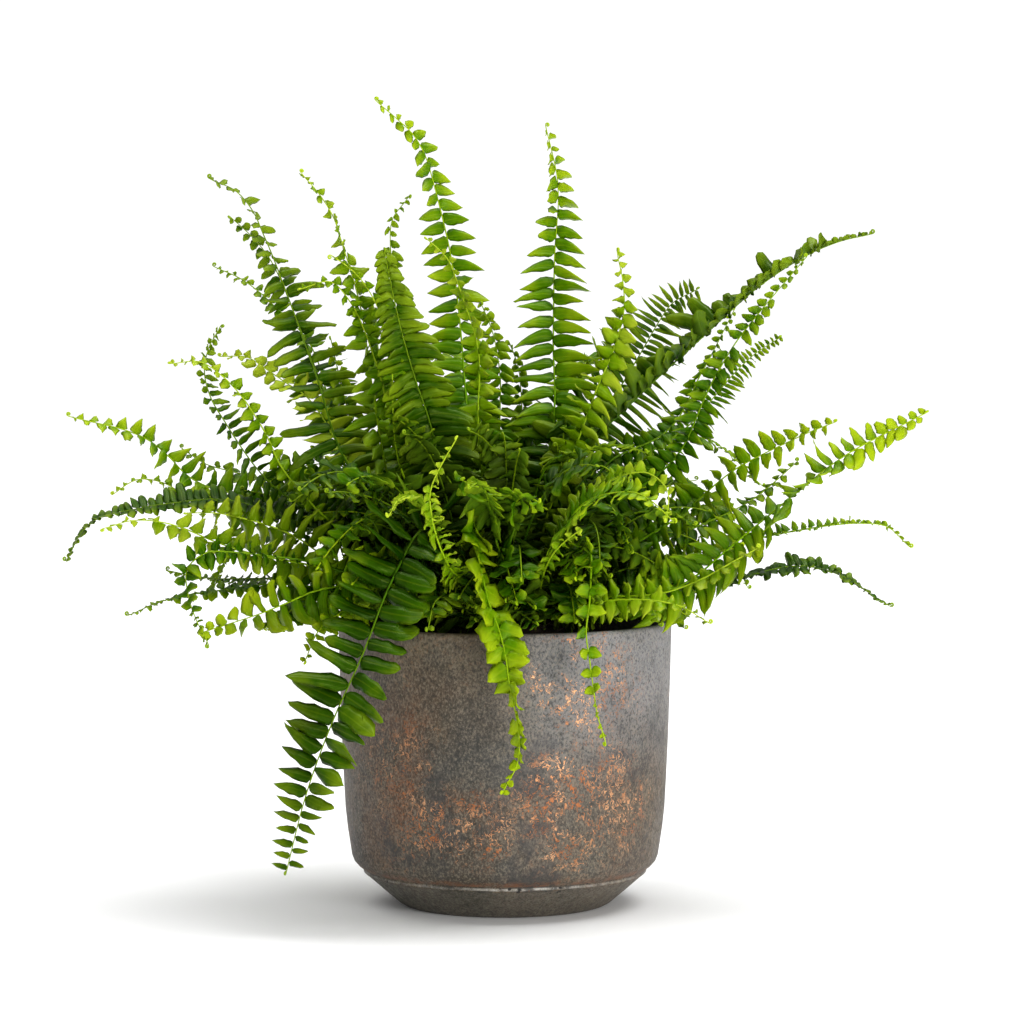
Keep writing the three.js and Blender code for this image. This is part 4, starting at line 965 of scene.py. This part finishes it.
def bed(name, edge, bottom, top, material, bumps):
    """A round body with a flat underside. Its upper side has the height that top gives for each radius,
    raised and sunk by noise of each scale and height."""
    radii = [edge * share for share in np.linspace(0, 1, BED_RINGS + 1)[1:]]
    profile = [(0, bottom), *((r, bottom) for r in radii), *((r, top(r)) for r in radii[::-1]), (0, top(0))]
    piece = turned(name, profile, BED_TURNS, material)
    for point in piece.data.vertices:
        if point.normal.z > 0.2 or point.co.z > CROWN_LOW:
            for scale, height in bumps:
                point.co.z += height * noise.noise(point.co * scale + Vector((7.3, 1.9, 0)))
    piece.data.update()
    return piece


def fibres(material):
    """Brown roots and scales that lie tangled on the crown, as thin three-sided tubes."""
    points, faces = [], []
    for _ in range(FIBRES):
        radius, turn = CROWN_EDGE * math.sqrt(rng.uniform(0, 1)), rng.uniform(0, 2 * math.pi)
        heading, length = rng.uniform(0, 2 * math.pi), rng.uniform(7, 20) * MM
        at = np.array([radius * math.cos(turn), radius * math.sin(turn)])
        start, lift, thick = len(points), rng.uniform(0.5, 5) * MM, rng.uniform(0.16, 0.42) * MM
        for k in range(FIBRE_STEPS):
            share = k / (FIBRE_STEPS - 1)
            height = crown_height(np.hypot(*at)) + lift * math.sin(math.pi * share)
            for j in range(3):
                angle = 2 * math.pi * j / 3
                side = thick * (1 - 0.6 * share) * math.cos(angle)
                points.append((at[0] - side * math.sin(heading), at[1] + side * math.cos(heading),
                               height + thick * (1 - 0.6 * share) * math.sin(angle)))
            heading += rng.normal(0, 0.35)
            at = at + length / (FIBRE_STEPS - 1) * np.array([math.cos(heading), math.sin(heading)])
        faces += tube_faces(FIBRE_STEPS, 3, start)
        faces += [(start + 2, start + 1, start), tuple(range(len(points) - 3, len(points)))]
    piece = mesh_object("crown_fibres", points, faces, [material])
    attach(piece, "root")


def soil_and_crown():
    earth = earth_material("soil_earth", srgb(16, 12, 9), srgb(44, 33, 24), 240)
    soil = bed("soil_bed", SOIL_EDGE, SOIL_TOP - SOIL_DEPTH, lambda radius: SOIL_TOP, earth,
               ((90, 2.2 * MM), (330, 1.4 * MM)))
    scales = earth_material("crown_scales", srgb(20, 14, 8), srgb(62, 44, 24), 420)
    crown = bed("crown_mound", CROWN_EDGE, SOIL_TOP - CROWN_SUNK, crown_height, scales,
                ((60, 3.5 * MM), (240, 2.4 * MM)))
    fibres(scales)
    for piece, node in ((soil, "soil"), (crown, "crown")):
        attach(piece, "root")
        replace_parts(piece, node)


def stage():
    floor_look = Shader("floor")
    floor_look.show(floor_look.principled(srgb(252, 252, 252), 0.9))
    far = 8.0
    corners = [(-far, -far, 0), (far, -far, 0), (far, far, 0), (-far, far, 0)]
    mesh_object("floor", corners, [(0, 1, 2, 3)], [floor_look.material])

    # The surroundings look white and light the plant softly.
    world = bpy.data.worlds.new("studio")
    bpy.context.scene.world = world
    world.use_nodes = True
    nodes, links = world.node_tree.nodes, world.node_tree.links
    mixed = nodes.new("ShaderNodeMixShader")
    links.new(nodes.new("ShaderNodeLightPath").outputs["Is Camera Ray"], mixed.inputs[0])
    for strength, socket in ((0.36, mixed.inputs[1]), (1.1, mixed.inputs[2])):
        light = nodes.new("ShaderNodeBackground")
        light.inputs["Color"].default_value = (1, 1, 1, 1)
        light.inputs["Strength"].default_value = strength
        links.new(light.outputs[0], socket)
    links.new(mixed.outputs[0], nodes["World Output"].inputs[0])

    def lamp(name, kind, at, energy):
        light = bpy.data.lights.new(name, kind)
        light.energy = energy
        made = bpy.data.objects.new(name, light)
        made.location = at
        aim = Vector((0, 0, 0.22)) - Vector(at)
        made.rotation_euler = aim.to_track_quat("-Z", "Y").to_euler()
        bpy.context.scene.collection.objects.link(made)
        return light

    lamp("key", "SUN", (0.5, 0.12, 1.65), 2.35).angle = math.radians(40)
    lamp("other", "SUN", (-0.45, 0.25, 1.6), 1.2).angle = math.radians(50)
    lamp("front", "AREA", (1.2, -1.9, 0.42), 33).size = 1.0

    lens = bpy.data.cameras.new("camera")
    lens.lens, lens.sensor_width, lens.clip_end = CAMERA_LENS_MM, CAMERA_SENSOR_MM, 100
    camera = bpy.data.objects.new("camera", lens)
    camera.location = CAMERA_AT
    camera.rotation_euler = (math.radians(90 - CAMERA_PITCH_DEG), 0, 0)
    bpy.context.scene.collection.objects.link(camera)
    bpy.context.scene.camera = camera
    bpy.context.scene.view_settings.view_transform = "Standard"


LEAF_MATERIALS = {
    tone: [leaf_material(tone, False), leaf_material(tone, True), stalk_material(tone)] for tone in TONES
}
slots = {row["node"]: row["material_slot"] for row in frame["record"]["subparts"]}
for name in sorted(n for n in frame["nodes"] if n.startswith("frond_")):
    dress_fronds(frame["nodes"][name], slots[name])
infill()
pot()
soil_and_crown()
stage()
